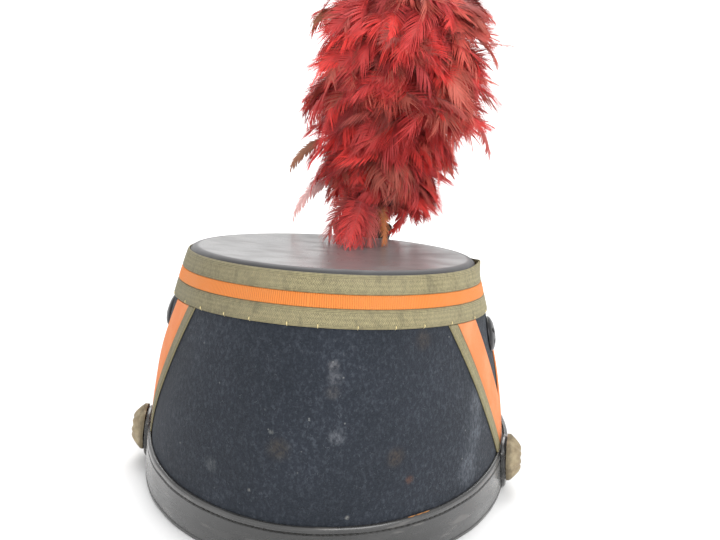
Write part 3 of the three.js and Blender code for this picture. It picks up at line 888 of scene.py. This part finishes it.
RIBBON_START = LACE_START + LACE_WIDTH + GAP
LOWER_START = RIBBON_START + RIBBON_WIDTH + GAP
LACE_FOOT = LOWER_START + LACE_WIDTH
stripe("lace_upper", LACE_START, LACE_START + LACE_WIDTH, OLIVE, "top_lace_upper", 1.0)
stripe("ribbon", RIBBON_START, RIBBON_START + RIBBON_WIDTH, RIBBED, "top_ribbon")
stripe("lace_lower", LOWER_START, LACE_FOOT, OLIVE, "top_lace_lower")

# %% [markdown]
# ### Side chevrons
# A chevron of orange cloth points down over each boss, with olive lace along its outer edges. Each leg is
# a patch of the crown between two angles that change with the level; the front leg mirrors the rear one.

# %% Chevrons
CHEVRON = {
    "thickness": 0.8,
    "top_level": 0.8,
    "top_angle": 54.0,
    "angle_per_level": 46.5,
    "lace_angle": 4.9,
    "ribbon_angle": 12.6,
    "centre": 86.0,
    "sewn_shift": 2.6,
    "gap_angle": 0.25,
}
BAND_HEIGHT = 21.5
LEG_ROWS, LEG_COLUMNS, LEG_PASSES = 60, 12, 4
FIRST_FOOT, FIRST_CLIMB = 0.2, 0.6
EDGE_RISE, EDGE_LEFT = 6.0, 0.45


def seam(t):
    """Angle of the seam between the cloth and its lace at a level."""
    return CHEVRON["top_angle"] + CHEVRON["angle_per_level"] * (CHEVRON["top_level"] - t)


def chevron_leg(name, side, front, start, end, finish, nodes):
    """A strip between two angles, start and end, which are functions of the level. Its section runs
    across the outer face and back along the inner one."""
    across = np.linspace(0, 1, LEG_COLUMNS)
    share = np.concatenate([across, across[::-1]])[None, :]
    edge = np.minimum(1.0, EDGE_RISE * np.minimum(share, 1 - share) + EDGE_LEFT)
    is_outer = (np.arange(2 * LEG_COLUMNS) < LEG_COLUMNS)[None, :]
    climb = np.linspace(0, 1, LEG_ROWS)[:, None]

    def place(angle):
        turned = 2 * CHEVRON["centre"] - angle if front else angle
        return np.radians(side * turned - CHEVRON["sewn_shift"])

    level = FIRST_FOOT + FIRST_CLIMB * climb + 0.0 * share
    for _ in range(LEG_PASSES):
        theta = place(start(level) + (end(level) - start(level)) * share)
        foot = level_from_rim(theta, BAND_HEIGHT + GAP)
        head = level_from_top(theta, LACE_FOOT + GAP)
        level = foot + (head - foot) * climb
    theta = place(start(level) + (end(level) - start(level)) * share)
    grid = crown(theta, level, GAP + CHEVRON["thickness"] * edge * is_outer)
    rows_length = lengths_along(grid[:, LEG_COLUMNS // 2])
    width = lengths_along(np.concatenate([grid[LEG_ROWS // 2], grid[LEG_ROWS // 2, :1]]))
    flat = np.stack(np.meshgrid(np.pad(rows_length, 1, mode="edge"), width, indexing="ij"), -1)
    return solid_piece(name, close_ends(grid), finish, nodes, flat)


def ribbon_start(t):
    return np.minimum(seam(t), CHEVRON["centre"] - CHEVRON["gap_angle"])


def ribbon_end(t):
    return np.minimum(seam(t) + CHEVRON["ribbon_angle"], CHEVRON["centre"])


def lace_start(t):
    return seam(t) - CHEVRON["lace_angle"]


def lace_end(t):
    return seam(t) - CHEVRON["gap_angle"]


for side_name, side in [("left", 1), ("right", -1)]:
    for leg_name, front in [("rear", False), ("front", True)]:
        leg = f"{side_name}_{leg_name}"
        cloth_node = f"chevron_{side_name}_ribbon"
        lace_node = f"chevron_{side_name}_lace_{leg_name}"
        chevron_leg(f"chevron_cloth_{leg}", side, front, ribbon_start, ribbon_end,
                    CLOTH, [cloth_node])
        chevron_leg(f"chevron_edge_{leg}", side, front, lace_start, lace_end,
                    OLIVE_EDGE, [lace_node])

# %% [markdown]
# ## Metal
# The bosses are cast brass gone dull and brown, and the vents are thin domes lacquered black. On the
# brass, dirt sits in the hollows and the high places are rubbed brighter; height above the back is kept
# in a vertex colour while the relief is worked out, so the finish can read it.

# %% Metal finishes


def tarnished_brass():
    material, shader, wire = new_finish("tarnished_brass", metallic=0.55)
    height = wire.make("ShaderNodeVertexColor", {"layer_name": "dye"})
    relief = height.part("X")
    place = object_place(wire)
    patina = place.noise(scale=260.0, detail=4.0, roughness=0.65)
    pits = place.noise(scale=1200.0, detail=2.0)
    dirt = 1.0 - (relief + (patina - 0.5) * 0.8).between(0.15, 0.6)
    base = patina.between(0.3, 0.7).blend(colour(0.26, 0.205, 0.125), colour(0.40, 0.335, 0.22))
    base = (dirt * 0.6).blend(base, colour(0.10, 0.082, 0.052))
    connect(shader, "Base Color", base)
    connect(shader, "Roughness", 0.42 + patina * 0.25)
    raise_surface(shader, wire, pits + patina, 0.00015)
    return material


def black_lacquer():
    material, shader, wire = new_finish("black_lacquer", metallic=0.2)
    place = object_place(wire)
    chips = place.noise(scale=500.0, detail=3.0, roughness=0.6).between(0.62, 0.7)
    haze = place.noise(scale=120.0, detail=2.0)
    base = (chips * 0.6).blend(colour(0.012, 0.012, 0.014), colour(0.10, 0.085, 0.06))
    connect(shader, "Base Color", base)
    connect(shader, "Roughness", 0.2 + haze * 0.25)
    raise_surface(shader, wire, haze, 0.0001)
    return material


BRASS = tarnished_brass()
LACQUER = black_lacquer()
print("metals:", BRASS.name, LACQUER.name)

# %% Bosses
BOSS_RISE = 15.5
BOSS_HALF_WIDTH, BOSS_HALF_HEIGHT = 9.6, 11.6
BOSS_PETALS, BOSS_PETAL_DEPTH, BOSS_SCALLOP = 8, 0.22, 0.04
BOSS_SHARES = np.array([0.0, 0.08, 0.16, 0.26, 0.36, 0.48, 0.6, 0.72, 0.84, 0.94, 1.0])
BOSS_HEIGHTS = np.array([4.1, 4.2, 4.5, 5.4, 6.2, 6.1, 5.4, 4.4, 3.2, 2.0, 1.2])
BOSS_SIDES, BOSS_ROWS, BOSS_BACK_SHARE = 128, 36, 0.6
BOSS_OFFSET = 3 * GAP + BAND_THICKNESS + STRAP_THICKNESS


def stand_on_crown(local, theta, rise, offset):
    """Turns local points so that their z points out of the crown and their y up it."""
    t = level_from_rim(theta, rise)
    along, up, out = out_of_crown(theta, t)
    across = np.cross(up, out)
    seat = crown(theta, t) + out * offset
    return seat + local[..., :1] * across + local[..., 1:2] * up + local[..., 2:] * out


def boss_relief():
    """Radius share and angle give a scalloped oval; the height follows the table and the petals add a
    cosine that is strongest half way out. A flat back closes it."""
    angle = np.linspace(0, 2 * np.pi, BOSS_SIDES, endpoint=False)[None, :]
    share = np.linspace(1, 0, BOSS_ROWS)[:, None]
    lobe = np.cos(BOSS_PETALS * angle)
    spread = share * (1 + BOSS_SCALLOP * share * lobe)
    ridge = BOSS_PETAL_DEPTH * lobe * np.sin(np.pi * share) ** 2
    height = np.interp(share, BOSS_SHARES, BOSS_HEIGHTS) + ridge
    x, y = BOSS_HALF_WIDTH * spread * np.cos(angle), BOSS_HALF_HEIGHT * spread * np.sin(angle)
    face = np.stack(np.broadcast_arrays(x, y, height), -1)
    back = face[:1] * np.array([1.0, 1.0, 0.0])
    return np.concatenate([back * 0.0, back * BOSS_BACK_SHARE, back, face])


def boss(side_name, side):
    local = boss_relief()
    grid = stand_on_crown(local, np.radians(side * BOSS_ANGLE), BOSS_RISE, BOSS_OFFSET)
    node = f"boss_{side_name}"
    piece = solid_piece(f"rosette_{side_name}", grid, BRASS, [node], crease=70.0)
    return piece, local[..., 2].max()


def keep_height(piece, theta, rise, offset, highest):
    """Stores each vertex's share of the relief's height as a grey vertex colour."""
    co = np.zeros(3 * len(piece.data.vertices), np.float32)
    piece.data.vertices.foreach_get("co", co)
    t = level_from_rim(theta, rise)
    out = out_of_crown(theta, t)[2]
    height = ((co.reshape(-1, 3) / MM - crown(theta, t)) @ out - offset) / highest
    grey = np.clip(height, 0, 1)[:, None] * np.array([[1.0, 1.0, 1.0, 0.0]]) + np.array([[0, 0, 0, 1.0]])
    layer = piece.data.color_attributes.new("dye", "FLOAT_COLOR", "POINT")
    layer.data.foreach_set("color", grey.astype(np.float32).ravel())


for side_name, side in [("left", 1), ("right", -1)]:
    rosette, highest = boss(side_name, side)
    keep_height(rosette, np.radians(side * BOSS_ANGLE), BOSS_RISE, BOSS_OFFSET, highest)

# %% [markdown]
# ### Vents
# Each vent is a thin dome pierced by six holes. A boolean would cut them, but on a fine polar grid it is
# enough to leave out the faces inside each hole and to give the rest its thickness with Solidify.

# %% Vents
VENT_ANGLE, VENT_RISE = 88.0, 76.0
VENT_RADIUS, VENT_DOME, VENT_SHELL = 8.2, 2.8, 0.9
VENT_HOLE_RADIUS, VENT_HOLE_RING, VENT_HOLES = 1.2, 4.6, 5
VENT_RINGS, VENT_SIDES, VENT_POLE = 54, 120, 0.08


def vent(side_name, side):
    """A dome whose radius is a sine and whose height a cosine of the same angle."""
    angle = np.linspace(0, 2 * np.pi, VENT_SIDES, endpoint=False)[None, :]
    polar = np.linspace(VENT_POLE, np.pi / 2, VENT_RINGS)[:, None]
    radius = VENT_RADIUS * np.sin(polar)
    x, y, z = np.broadcast_arrays(radius * np.cos(angle), radius * np.sin(angle), VENT_DOME * np.cos(polar))
    local = np.stack([x, y, z], -1)
    quads = grid_quads(VENT_RINGS, VENT_SIDES, (False, True))
    middle = local.reshape(-1, 3)[quads].mean(axis=1)[:, :2]
    turn = 2 * np.pi * np.arange(VENT_HOLES) / VENT_HOLES
    holes = VENT_HOLE_RING * np.stack([np.cos(turn), np.sin(turn)], -1)
    holes = np.concatenate([holes, [[0.0, 0.0]]])
    gap = np.linalg.norm(middle[:, None] - holes[None], axis=-1).min(axis=1)
    points = stand_on_crown(local, np.radians(side * VENT_ANGLE), VENT_RISE, GAP).reshape(-1, 3)
    kept = quads[gap > VENT_HOLE_RADIUS]
    used, kept = np.unique(kept, return_inverse=True)
    kept = kept.reshape(-1, 4)
    node = f"vent_{side_name}"
    piece = new_piece(f"dome_{side_name}", points[used], kept, LACQUER, [node])
    shell = piece.modifiers.new("shell", "SOLIDIFY")
    shell.thickness = VENT_SHELL * MM
    shell.offset = -1.0
    return piece


for side_name, side in [("left", 1), ("right", -1)]:
    vent(side_name, side)

# %% [markdown]
# ## Stitches
# Gold thread tacks the lower lace to the felt, one stitch every couple of centimetres, and a black thread
# runs in the groove of the head band, with a rusty fray on its upper edge. Each stitch is a small arched
# tube; all of a row are one array of rings, so hundreds cost no loop over points.

# %% Rows of stitches
STITCH_SIDES, STITCH_RINGS, STITCH_END = 6, 7, 0.04
GOLD, BLACK, RUST = (0.95, 0.78, 0.38), (0.035, 0.033, 0.03), (0.46, 0.20, 0.06)


def thread_finish(name, tint):
    material, shader, wire = new_finish(name, roughness=0.6)
    twist = object_place(wire).noise(scale=2500.0, detail=1.0)
    connect(shader, "Base Color", twist.blend(colour(*(0.6 * np.array(tint))), colour(*tint)))
    return material


def stitches(name, start, end, out, radius, arch, finish):
    """Tubes from start to end points that bow outwards by a sine, with closed, drawn-in ends."""
    share = np.linspace(0, 1, STITCH_RINGS)
    swell = np.sqrt(np.clip(np.sin(np.pi * (STITCH_END + (1 - 2 * STITCH_END) * share)), 0, 1))
    way = end - start
    across = np.cross(out, way / np.linalg.norm(way, axis=-1, keepdims=True))
    bow = arch * np.sin(np.pi * share)
    line = start[:, None] + way[:, None] * share[None, :, None] + out[:, None] * bow[None, :, None]
    turn = np.linspace(0, 2 * np.pi, STITCH_SIDES, endpoint=False)
    ring = np.cos(turn)[:, None, None] * across + np.sin(turn)[:, None, None] * out
    ring = ring.transpose(1, 0, 2)[:, None]
    points = line[:, :, None] + radius * swell[None, :, None, None] * ring
    one = grid_quads(STITCH_RINGS, STITCH_SIDES, (False, True))
    first = np.arange(len(start))[:, None, None] * STITCH_RINGS * STITCH_SIDES
    quads = (one[None] + first).reshape(-1, 4)
    return new_piece(name, points.reshape(-1, 3), quads, finish, crease=80.0)


TACK_ANGLES = np.array([54, 42, 30.5, 20, 6.5, -4, -16.5, -29, -41, -53, -68, -84, -99, -115, -131,
                        -147, -163, -178, 167, 152, 137, 121, 104, 87, 71])


TACK_WANDER, TACK_BELOW, TACK_ABOVE = 0.6, 0.5, 1.5
TACK_RADIUS, TACK_ARCH = 0.3, 0.4


def lace_tacks():
    theta = np.radians(TACK_ANGLES + RNG.normal(0, TACK_WANDER, len(TACK_ANGLES)))
    foot = level_from_top(theta, LACE_FOOT + TACK_BELOW)
    head = level_from_top(theta, LACE_FOOT - TACK_ABOVE)
    out = out_of_crown(theta, head)[2]
    lifted = GAP + LACE_THICKNESS + 0.1
    start, end = crown(theta, foot, 0.2), crown(theta, head, lifted)
    gold = thread_finish("gold_thread", GOLD)
    return stitches("lace_tacks", start, end, out, TACK_RADIUS, TACK_ARCH, gold)


BAND_STITCHES, STITCH_SHARE = 190, 0.62
GROOVE_RISE, GROOVE_SEAT = 18.1, 1.15
BAND_STITCH_RADIUS, BAND_STITCH_ARCH = 0.24, 0.2


def band_stitches():
    theta = np.linspace(0, 2 * np.pi, BAND_STITCHES, endpoint=False)
    step = STITCH_SHARE * np.pi / BAND_STITCHES
    level = level_from_rim(theta, GROOVE_RISE)
    start, end = (crown(theta + way * step, level, GAP + GROOVE_SEAT) for way in (-1, 1))
    out = out_of_crown(theta, level)[2]
    black = thread_finish("black_thread", BLACK)
    return stitches("band_stitches", start, end, out, BAND_STITCH_RADIUS, BAND_STITCH_ARCH,
                    black)


FRAY_ANGLES = np.radians(np.array([-39.5, -37.2, -34.6]))
FRAY_REACH, FRAY_SEAT = np.radians(2.4), 0.9
FRAY_RADIUS, FRAY_ARCH = 0.26, 0.1


def frayed_edge():
    level = level_from_rim(FRAY_ANGLES, BAND_HEIGHT + 0.2)
    ends = level_from_rim(FRAY_ANGLES + FRAY_REACH, BAND_HEIGHT + 0.1)
    start = crown(FRAY_ANGLES, level, GAP + FRAY_SEAT)
    end = crown(FRAY_ANGLES + FRAY_REACH, ends, GAP + FRAY_SEAT)
    out = out_of_crown(FRAY_ANGLES, level)[2]
    rust = thread_finish("rust_thread", RUST)
    return stitches("frayed_edge", start, end, out, FRAY_RADIUS, FRAY_ARCH, rust)


lace_tacks()
band_stitches()
frayed_edge()

# %% [markdown]
# ## The plume
# The plume is a column of dyed cock feathers tied on a stem, each one arching out and drooping over the
# next like a shingle. Hair strands could stand for them, but a feather shows its quill and the barbs that
# cling together in clumps. So every feather is a curved quill with ribbons for barbs, and hundreds of
# feathers are worked out at once as arrays of feather, side, barb, station and edge.

# %% Plume outline and sway
LOW_SWAY, LOW_SWAY_HEIGHT = 10.0, 12.0
HIGH_SWAY, HIGH_SWAY_FROM, HIGH_SWAY_TO = 7.5, 46.0, 74.0
PLUME_OUTLINE = np.array([(0.0, 9.0), (8.0, 14.0), (16.0, 24.0), (25.0, 33.0), (33.0, 35.5), (53.0, 39.0),
                          (70.0, 44.5), (93.0, 46.0), (110.0, 42.0), (122.0, 33.0), (131.0, 22.0),
                          (138.0, 9.0)])
CORE_SHARE, CORE_LUMP = 0.5, 0.12
CORE_SIDES, CORE_ROWS = 48, 40
CORE_FOOT, CORE_TOP, CORE_POINT, CORE_ROUNDING = 0.3, 128.0, 131.0, 60.0


def plume_half_width(height):
    return np.interp(height, PLUME_OUTLINE[:, 0], PLUME_OUTLINE[:, 1])


def in_plume(x, y, height):
    """A point beside the stem, moved to the wearer's right: the stem bends at its foot and once more half
    way up, as a smooth step."""
    step = np.clip((height - HIGH_SWAY_FROM) / (HIGH_SWAY_TO - HIGH_SWAY_FROM), 0, 1)
    low = LOW_SWAY * (1 - np.exp(-np.maximum(height, 0) / LOW_SWAY_HEIGHT))
    sway = low + HIGH_SWAY * step ** 2 * (3 - 2 * step)
    return np.stack([x - sway, y, height], -1) + PLUME_FOOT


def feather_finish(name):
    material, shader, wire = new_finish(name, roughness=0.65, sheen_weight=0.1, sheen_roughness=0.4)
    dye = wire.make("ShaderNodeVertexColor", {"layer_name": "dye"})
    dust = object_place(wire).noise(scale=180.0, detail=3.0).between(0.5, 0.8)
    connect(shader, "Base Color", (dust * 0.25).blend(dye, colour(0.30, 0.11, 0.08)))
    return material


FEATHER = feather_finish("dyed_feather")


def plume_core():
    """The wound stem inside the feathers, coloured dark so that it also paints the shade between them: the
    outline shrunk to a share of its width and turned.
    """
    angle = np.linspace(0, 2 * np.pi, CORE_SIDES, endpoint=False)[None, :]
    climb = np.linspace(CORE_FOOT, CORE_TOP, CORE_ROWS)
    height = np.concatenate([[CORE_FOOT], climb, [CORE_TOP]])[:, None]
    closed = np.concatenate([[0.0], np.ones(CORE_ROWS), [0.0]])[:, None]
    rounded = np.sqrt(np.clip((CORE_POINT - height) / CORE_ROUNDING, 0, 1))
    lumps = 1 + CORE_LUMP * np.sin(5 * angle + 0.2 * height) * np.sin(0.35 * height)
    radius = closed * CORE_SHARE * plume_half_width(height) * rounded * lumps
    return in_plume(*np.broadcast_arrays(radius * np.cos(angle), radius * np.sin(angle), height))


def core_shade_finish():
    material, shader, wire = new_finish("plume_core", roughness=0.9)
    shade = object_place(wire).stretched(1, 1, 3).noise(scale=400.0, detail=3.0)
    # painted shade: the core's dark maroon stands in for the shaded depths seen in the gaps between
    # feathers
    connect(shader, "Base Color", shade.blend(colour(0.03, 0.006, 0.008), colour(0.16, 0.018, 0.02)))
    raise_surface(shader, wire, shade, 0.002)
    return material


solid_piece("plume_core", plume_core(), core_shade_finish(), ["plume"], crease=80.0)

# %% Where each feather starts and ends
FEATHERS = 760
TIP_RANGE, TIP_SAMPLES, FEW_TIPS = (2.0, 137.0), 600, 6.0
GOLDEN_TURN, TIP_WANDER, BASE_WANDER = 2.39996, 0.5, 0.65
TIER_SHIFT, TIER_HEIGHT, RUFFLE = 4.0, 26.0, 0.09
TIP_REACH, BASE_RISE, BOW_SHARE, BOW_RISE = (0.76, 1.02), (-4, 18), (0.5, 0.8), (2, 9)
BASE_TOP, BASE_TOP_SLOPE = 108.0, 0.14
BASE_SHARE, BASE_LIMIT, FACE_RISE = 0.32, 0.4, 0.9
DYE_STRENGTH = (0.75, 1.15)
FEATHER_SEED = np.random.default_rng(7)
DYES = np.array([(0.58, 0.044, 0.042), (0.76, 0.050, 0.042), (0.44, 0.036, 0.037), (0.50, 0.110, 0.078),
                 (0.36, 0.062, 0.050), (0.66, 0.100, 0.074)])
DYE_CHANCE = np.array([0.28, 0.20, 0.16, 0.14, 0.08, 0.14])


def feather_rows():
    """Tips lie on the outline, more of them where it is wide, and gather in tiers; bases lie further in
    and mostly higher, so the feathers droop, except near the top. The middle point bows out and up."""
    draw = FEATHER_SEED
    heights = np.linspace(*TIP_RANGE, TIP_SAMPLES)
    weight = np.cumsum(plume_half_width(heights) + FEW_TIPS)
    order = (np.arange(FEATHERS) + draw.uniform(0, 1, FEATHERS)) / FEATHERS
    tip_z = np.interp(order, weight / weight[-1], heights)
    tip_angle = GOLDEN_TURN * np.arange(FEATHERS) + draw.normal(0, TIP_WANDER, FEATHERS)
    tip_z = tip_z + TIER_SHIFT * np.sin(2 * np.pi * tip_z / TIER_HEIGHT + 2 * tip_angle)
    ruffle = RUFFLE * np.sin(2 * tip_angle + 0.13 * tip_z) + RUFFLE * np.sin(0.3 * tip_z + tip_angle)
    tip_radius = plume_half_width(tip_z) * (draw.uniform(*TIP_REACH, FEATHERS) + ruffle)
    base_angle = tip_angle + draw.normal(0, BASE_WANDER, FEATHERS)
    base_z = np.minimum(tip_z + draw.uniform(*BASE_RISE, FEATHERS), BASE_TOP + BASE_TOP_SLOPE * tip_z)
    base_radius = np.minimum(BASE_SHARE * tip_radius, BASE_LIMIT * plume_half_width(base_z))
    bow = draw.uniform(*BOW_SHARE, FEATHERS)
    mid_radius = base_radius + (tip_radius - base_radius) * bow
    mid_z = np.maximum(base_z, tip_z) + draw.uniform(*BOW_RISE, FEATHERS)
    mid_angle = 0.5 * (tip_angle + base_angle)
    base, bend = (base_radius, base_angle, base_z), (mid_radius, mid_angle, mid_z)
    rows = [base, bend, (tip_radius, tip_angle, tip_z)]
    line = np.stack([in_plume(r * np.cos(a), r * np.sin(a), z) for r, a, z in rows], axis=1)
    outward = np.stack([np.cos(tip_angle), np.sin(tip_angle), np.full(FEATHERS, FACE_RISE)], -1)
    chosen_dye = DYES[draw.choice(len(DYES), FEATHERS, p=DYE_CHANCE)]
    dye = chosen_dye * draw.uniform(*DYE_STRENGTH, (FEATHERS, 1))
    return line, outward, dye


FEATHER_LINE, FEATHER_OUT, FEATHER_DYE = feather_rows()
FEATHER_HALF_WIDTH = FEATHER_SEED.uniform(7.0, 12.5, FEATHERS)
FEATHER_ROLL = FEATHER_SEED.normal(0, 0.5, FEATHERS)
print("feathers:", FEATHERS)

# %% Quills and barbs as arrays
BARBS = 54
BARB_STATIONS = np.array([0.0, 0.35, 0.7, 1.0])
BARB_WIDTH = np.array([0.9, 0.95, 0.8, 0.15])
BARB_OPEN, BARB_CLOSING = 64.0, 44.0
BARB_FORWARD, BARB_LEAN, BARB_BOW, BARB_NARROWING = 0.30, 0.55, 0.16, 0.18
QUILL_RINGS = 10
QUILL_WIDTH = 0.5


def unit(vectors):
    return vectors / np.linalg.norm(vectors, axis=-1, keepdims=True)


def quill(line, share):
    """Point and direction of a quadratic curve through the three control points, for each share."""
    a, b, c = (line[:, k, None, :] for k in range(3))
    s = share[..., None]
    point = (1 - s) ** 2 * a + 2 * s * (1 - s) * b + s ** 2 * c
    way = 2 * (1 - s) * (b - a) + 2 * s * (c - b)
    return point, unit(way)


def feather_frame(way, outward, roll):
    """Vane side and face vectors beside each quill direction, turned about it by the feather's roll."""
    side = unit(np.cross(way, outward[:, None]))
    face = np.cross(side, way)
    turned = np.cos(roll)[:, None, None] * side + np.sin(roll)[:, None, None] * face
    return turned, np.cross(turned, way)


def clumped(count, draw):
    """For each barb, how far its tip leans towards the middle of its clump, in barb steps."""
    index = np.arange(BARBS)
    size = draw.integers(6, 14, (count, 1, 1))
    phase = draw.integers(0, 13, (count, 2, 1))
    place = (index[None, None] + phase) % size
    return (0.5 * (size - 1) - place)


def barbs(line, outward, dye, half_width, roll, draw):
    """Each barb leaves its quill at an angle that closes towards the tip, bends forward, sinks a little
    at its end and leans into its clump. Returns ribbon points and colours."""
    count = len(line)
    share = np.linspace(0.10, 1.0, BARBS)[None, :] + 0.0 * half_width[:, None]
    point, way = quill(line, share)
    side, face = feather_frame(way, outward, roll)
    shape = np.sin(np.pi * (0.12 + 0.68 * share)) ** 0.7
    length = (half_width[:, None] * shape + 2.0)[:, None] * draw.uniform(0.75, 1.15, (count, 2, BARBS))
    opening = np.radians(BARB_OPEN - BARB_CLOSING * share ** 2)[:, None]
    angle = opening + draw.normal(0, 0.06, (count, 2, BARBS))
    hand = np.array([-1.0, 1.0])[None, :, None]
    q = BARB_STATIONS
    spread = (np.sin(angle) * length * hand)[..., None] * (q * (1.0 - BARB_NARROWING * q))
    forward = (np.cos(angle) * length)[..., None] * q + (BARB_FORWARD * length)[..., None] * q ** 2
    pitch = np.linalg.norm(line[:, 2] - line[:, 0], axis=-1)[:, None, None] / BARBS
    forward = forward + (clumped(count, draw) * pitch * BARB_LEAN)[..., None] * q ** 2
    curl = draw.uniform(-0.1, 0.45, (count, 1, 1)) * length + draw.normal(0, 0.5, (count, 2, BARBS))
    sink = curl[..., None] * q ** 2 - (BARB_BOW * length)[..., None] * q * (1 - q)
    place = (point[:, None, :, None] + spread[..., None] * side[:, None, :, None]
             + forward[..., None] * way[:, None, :, None] - sink[..., None] * face[:, None, :, None])
    half = (0.5 * BARB_WIDTH * np.ones_like(spread))[..., None] * way[:, None, :, None]
    points = np.stack([place - half, place + half], axis=-2)
    lighter = (0.70 + 0.4 * share)[:, None, :, None] * (0.92 + 0.2 * q)
    tone = lighter * draw.uniform(0.85, 1.15, (count, 2, BARBS, 1))
    paint = dye[:, None, None, None, :] * tone[..., None]
    paint = np.concatenate([paint, np.ones(paint.shape[:-1] + (1,))], -1)
    paint = np.repeat(paint[..., None, :], 2, axis=-2)
    return points, paint


def quills(line, outward, dye, roll):
    """A flat ribbon along each quill that narrows to its tip."""
    share = np.linspace(0, 1, QUILL_RINGS)[None, :] + 0.0 * roll[:, None]
    point, way = quill(line, share)
    side, face = feather_frame(way, outward, roll)
    half = (0.5 * QUILL_WIDTH * (1.05 - share))[..., None] * side
    points = np.stack([point - half, point + half], axis=2) + 0.12 * face[:, :, None]
    paint = np.concatenate([0.7 * dye + 0.05, np.ones((len(dye), 1))], -1)
    return points, np.broadcast_to(paint[:, None, None], points.shape[:-1] + (4,))


def feather_piece(name, line, outward, dye, half_width, roll):
    vane, vane_paint = barbs(line, outward, dye, half_width, roll, FEATHER_SEED)
    stem, stem_paint = quills(line, outward, dye, roll)
    vane_quads = ribbon_quads(vane.size // (6 * len(BARB_STATIONS)), len(BARB_STATIONS))
    stem_quads = ribbon_quads(len(line), QUILL_RINGS) + vane.size // 3
    points = np.concatenate([vane.reshape(-1, 3), stem.reshape(-1, 3)])
    paint = np.concatenate([vane_paint.reshape(-1, 4), stem_paint.reshape(-1, 4)])
    quads = np.concatenate([vane_quads, stem_quads])
    return new_piece(name, points, quads, FEATHER, ["plume"], None, paint, 180.0)


TIERS = ["plume_foot", "plume_lower", "plume_upper", "plume_head"]
for tier, chosen in zip(TIERS, np.array_split(np.arange(FEATHERS), len(TIERS))):
    feather_piece(tier, FEATHER_LINE[chosen], FEATHER_OUT[chosen], FEATHER_DYE[chosen],
                  FEATHER_HALF_WIDTH[chosen], FEATHER_ROLL[chosen])

# %% [markdown]
# ### Loose feathers
# A few feathers have slipped out of the bundle: a tuft lies over the edge of the top, a pale one hangs at
# the left, one curls at the right and thin ones stick out. Each row gives a quill's base, bend and tip in
# millimetres from the foot of the plume, and uses the same feather as the rest.

# %% Loose feathers
BRIGHT, DEEP, ROSE, ORANGE = (0.62, 0.04, 0.036), (0.46, 0.03, 0.03), (0.44, 0.08, 0.07), (0.46, 0.15, 0.05)
PALE, BROWN = (0.90, 0.55, 0.53), (0.36, 0.15, 0.08)
LOOSE_FEATHERS = [
    {"base": (-3, 14, 18), "bend": (-1, 46, 30), "tip": (-1, 70, 10), "half_width": 8, "dye": DEEP},
    {"base": (-4, 14, 16), "bend": (-2, 52, 28), "tip": (-1, 86, 14), "half_width": 7, "dye": BRIGHT},
    {"base": (-4, 12, 14), "bend": (-7, 42, 28), "tip": (-9, 66, 9), "half_width": 7, "dye": ROSE},
    {"base": (-3, 12, 12), "bend": (5, 38, 24), "tip": (8, 60, 8), "half_width": 7, "dye": BRIGHT},
    {"base": (-3, 16, 20), "bend": (0, 40, 26), "tip": (2, 60, 12), "half_width": 8, "dye": DEEP},
    {"base": (-3, 13, 17), "bend": (1, 44, 29), "tip": (3, 74, 12), "half_width": 7, "dye": BRIGHT},
    {"base": (-4, 13, 15), "bend": (-4, 44, 27), "tip": (-5, 76, 12), "half_width": 7, "dye": DEEP},
    {"base": (-3, 13, 20), "bend": (8, 34, 26), "tip": (13, 50, 8), "half_width": 7, "dye": ROSE},
    {"base": (-7, 14, 16), "bend": (-15, 42, 22), "tip": (-16, 58, 8), "half_width": 3, "dye": ORANGE},
    {"base": (14, 0, 24), "bend": (29, 2, 22), "tip": (37, 2, 4), "half_width": 4, "dye": PALE},
    {"base": (-14, 4, 22), "bend": (-27, 6, 10), "tip": (-17, 6, -2), "half_width": 3.5, "dye": BRIGHT},
    {"base": (-48, 6, 68), "bend": (-60, 6, 62), "tip": (-65, 6, 45), "half_width": 2.5, "dye": ROSE},
    {"base": (20, 6, 47), "bend": (33, 6, 42), "tip": (39, 6, 31), "half_width": 3, "dye": BROWN},
    {"base": (16, 4, 112), "bend": (26, 4, 114), "tip": (30, 4, 107), "half_width": 3, "dye": BROWN},
]


def loose_feathers():
    line = np.array([[row["base"], row["bend"], row["tip"]] for row in LOOSE_FEATHERS], float)
    outward = line[:, 1] * np.array([0.3, 0.3, 0.0]) + np.array([0.0, 14.0, 8.0])
    dye = np.array([row["dye"] for row in LOOSE_FEATHERS])
    half_width = np.array([row["half_width"] for row in LOOSE_FEATHERS], float)
    flat_roll = np.zeros(len(line))
    return feather_piece("plume_loose", line + PLUME_FOOT, unit(outward), dye, half_width, flat_roll)


loose_feathers()

# %% [markdown]
# ## Floor
# The hat stands on a plain pale floor that isn't part of it.

# %% Floor
FLOOR_HALF = 4.0


def floor():
    mesh = bpy.data.meshes.new("floor")
    corners = FLOOR_HALF * np.array([(-1, -1, 0), (1, -1, 0), (1, 1, 0), (-1, 1, 0)])
    mesh.from_pydata(corners.tolist(), [], [(0, 1, 2, 3)])
    material, shader, wire = new_finish("pale_floor", roughness=0.9, specular_ior_level=0.1)
    tint = object_place(wire).noise(scale=3.0, detail=2.0)
    connect(shader, "Base Color", tint.blend(colour(0.90, 0.90, 0.90), colour(0.93, 0.93, 0.93)))
    mesh.materials.append(material)
    piece = bpy.data.objects.new("floor", mesh)
    bpy.context.scene.collection.objects.link(piece)


floor()
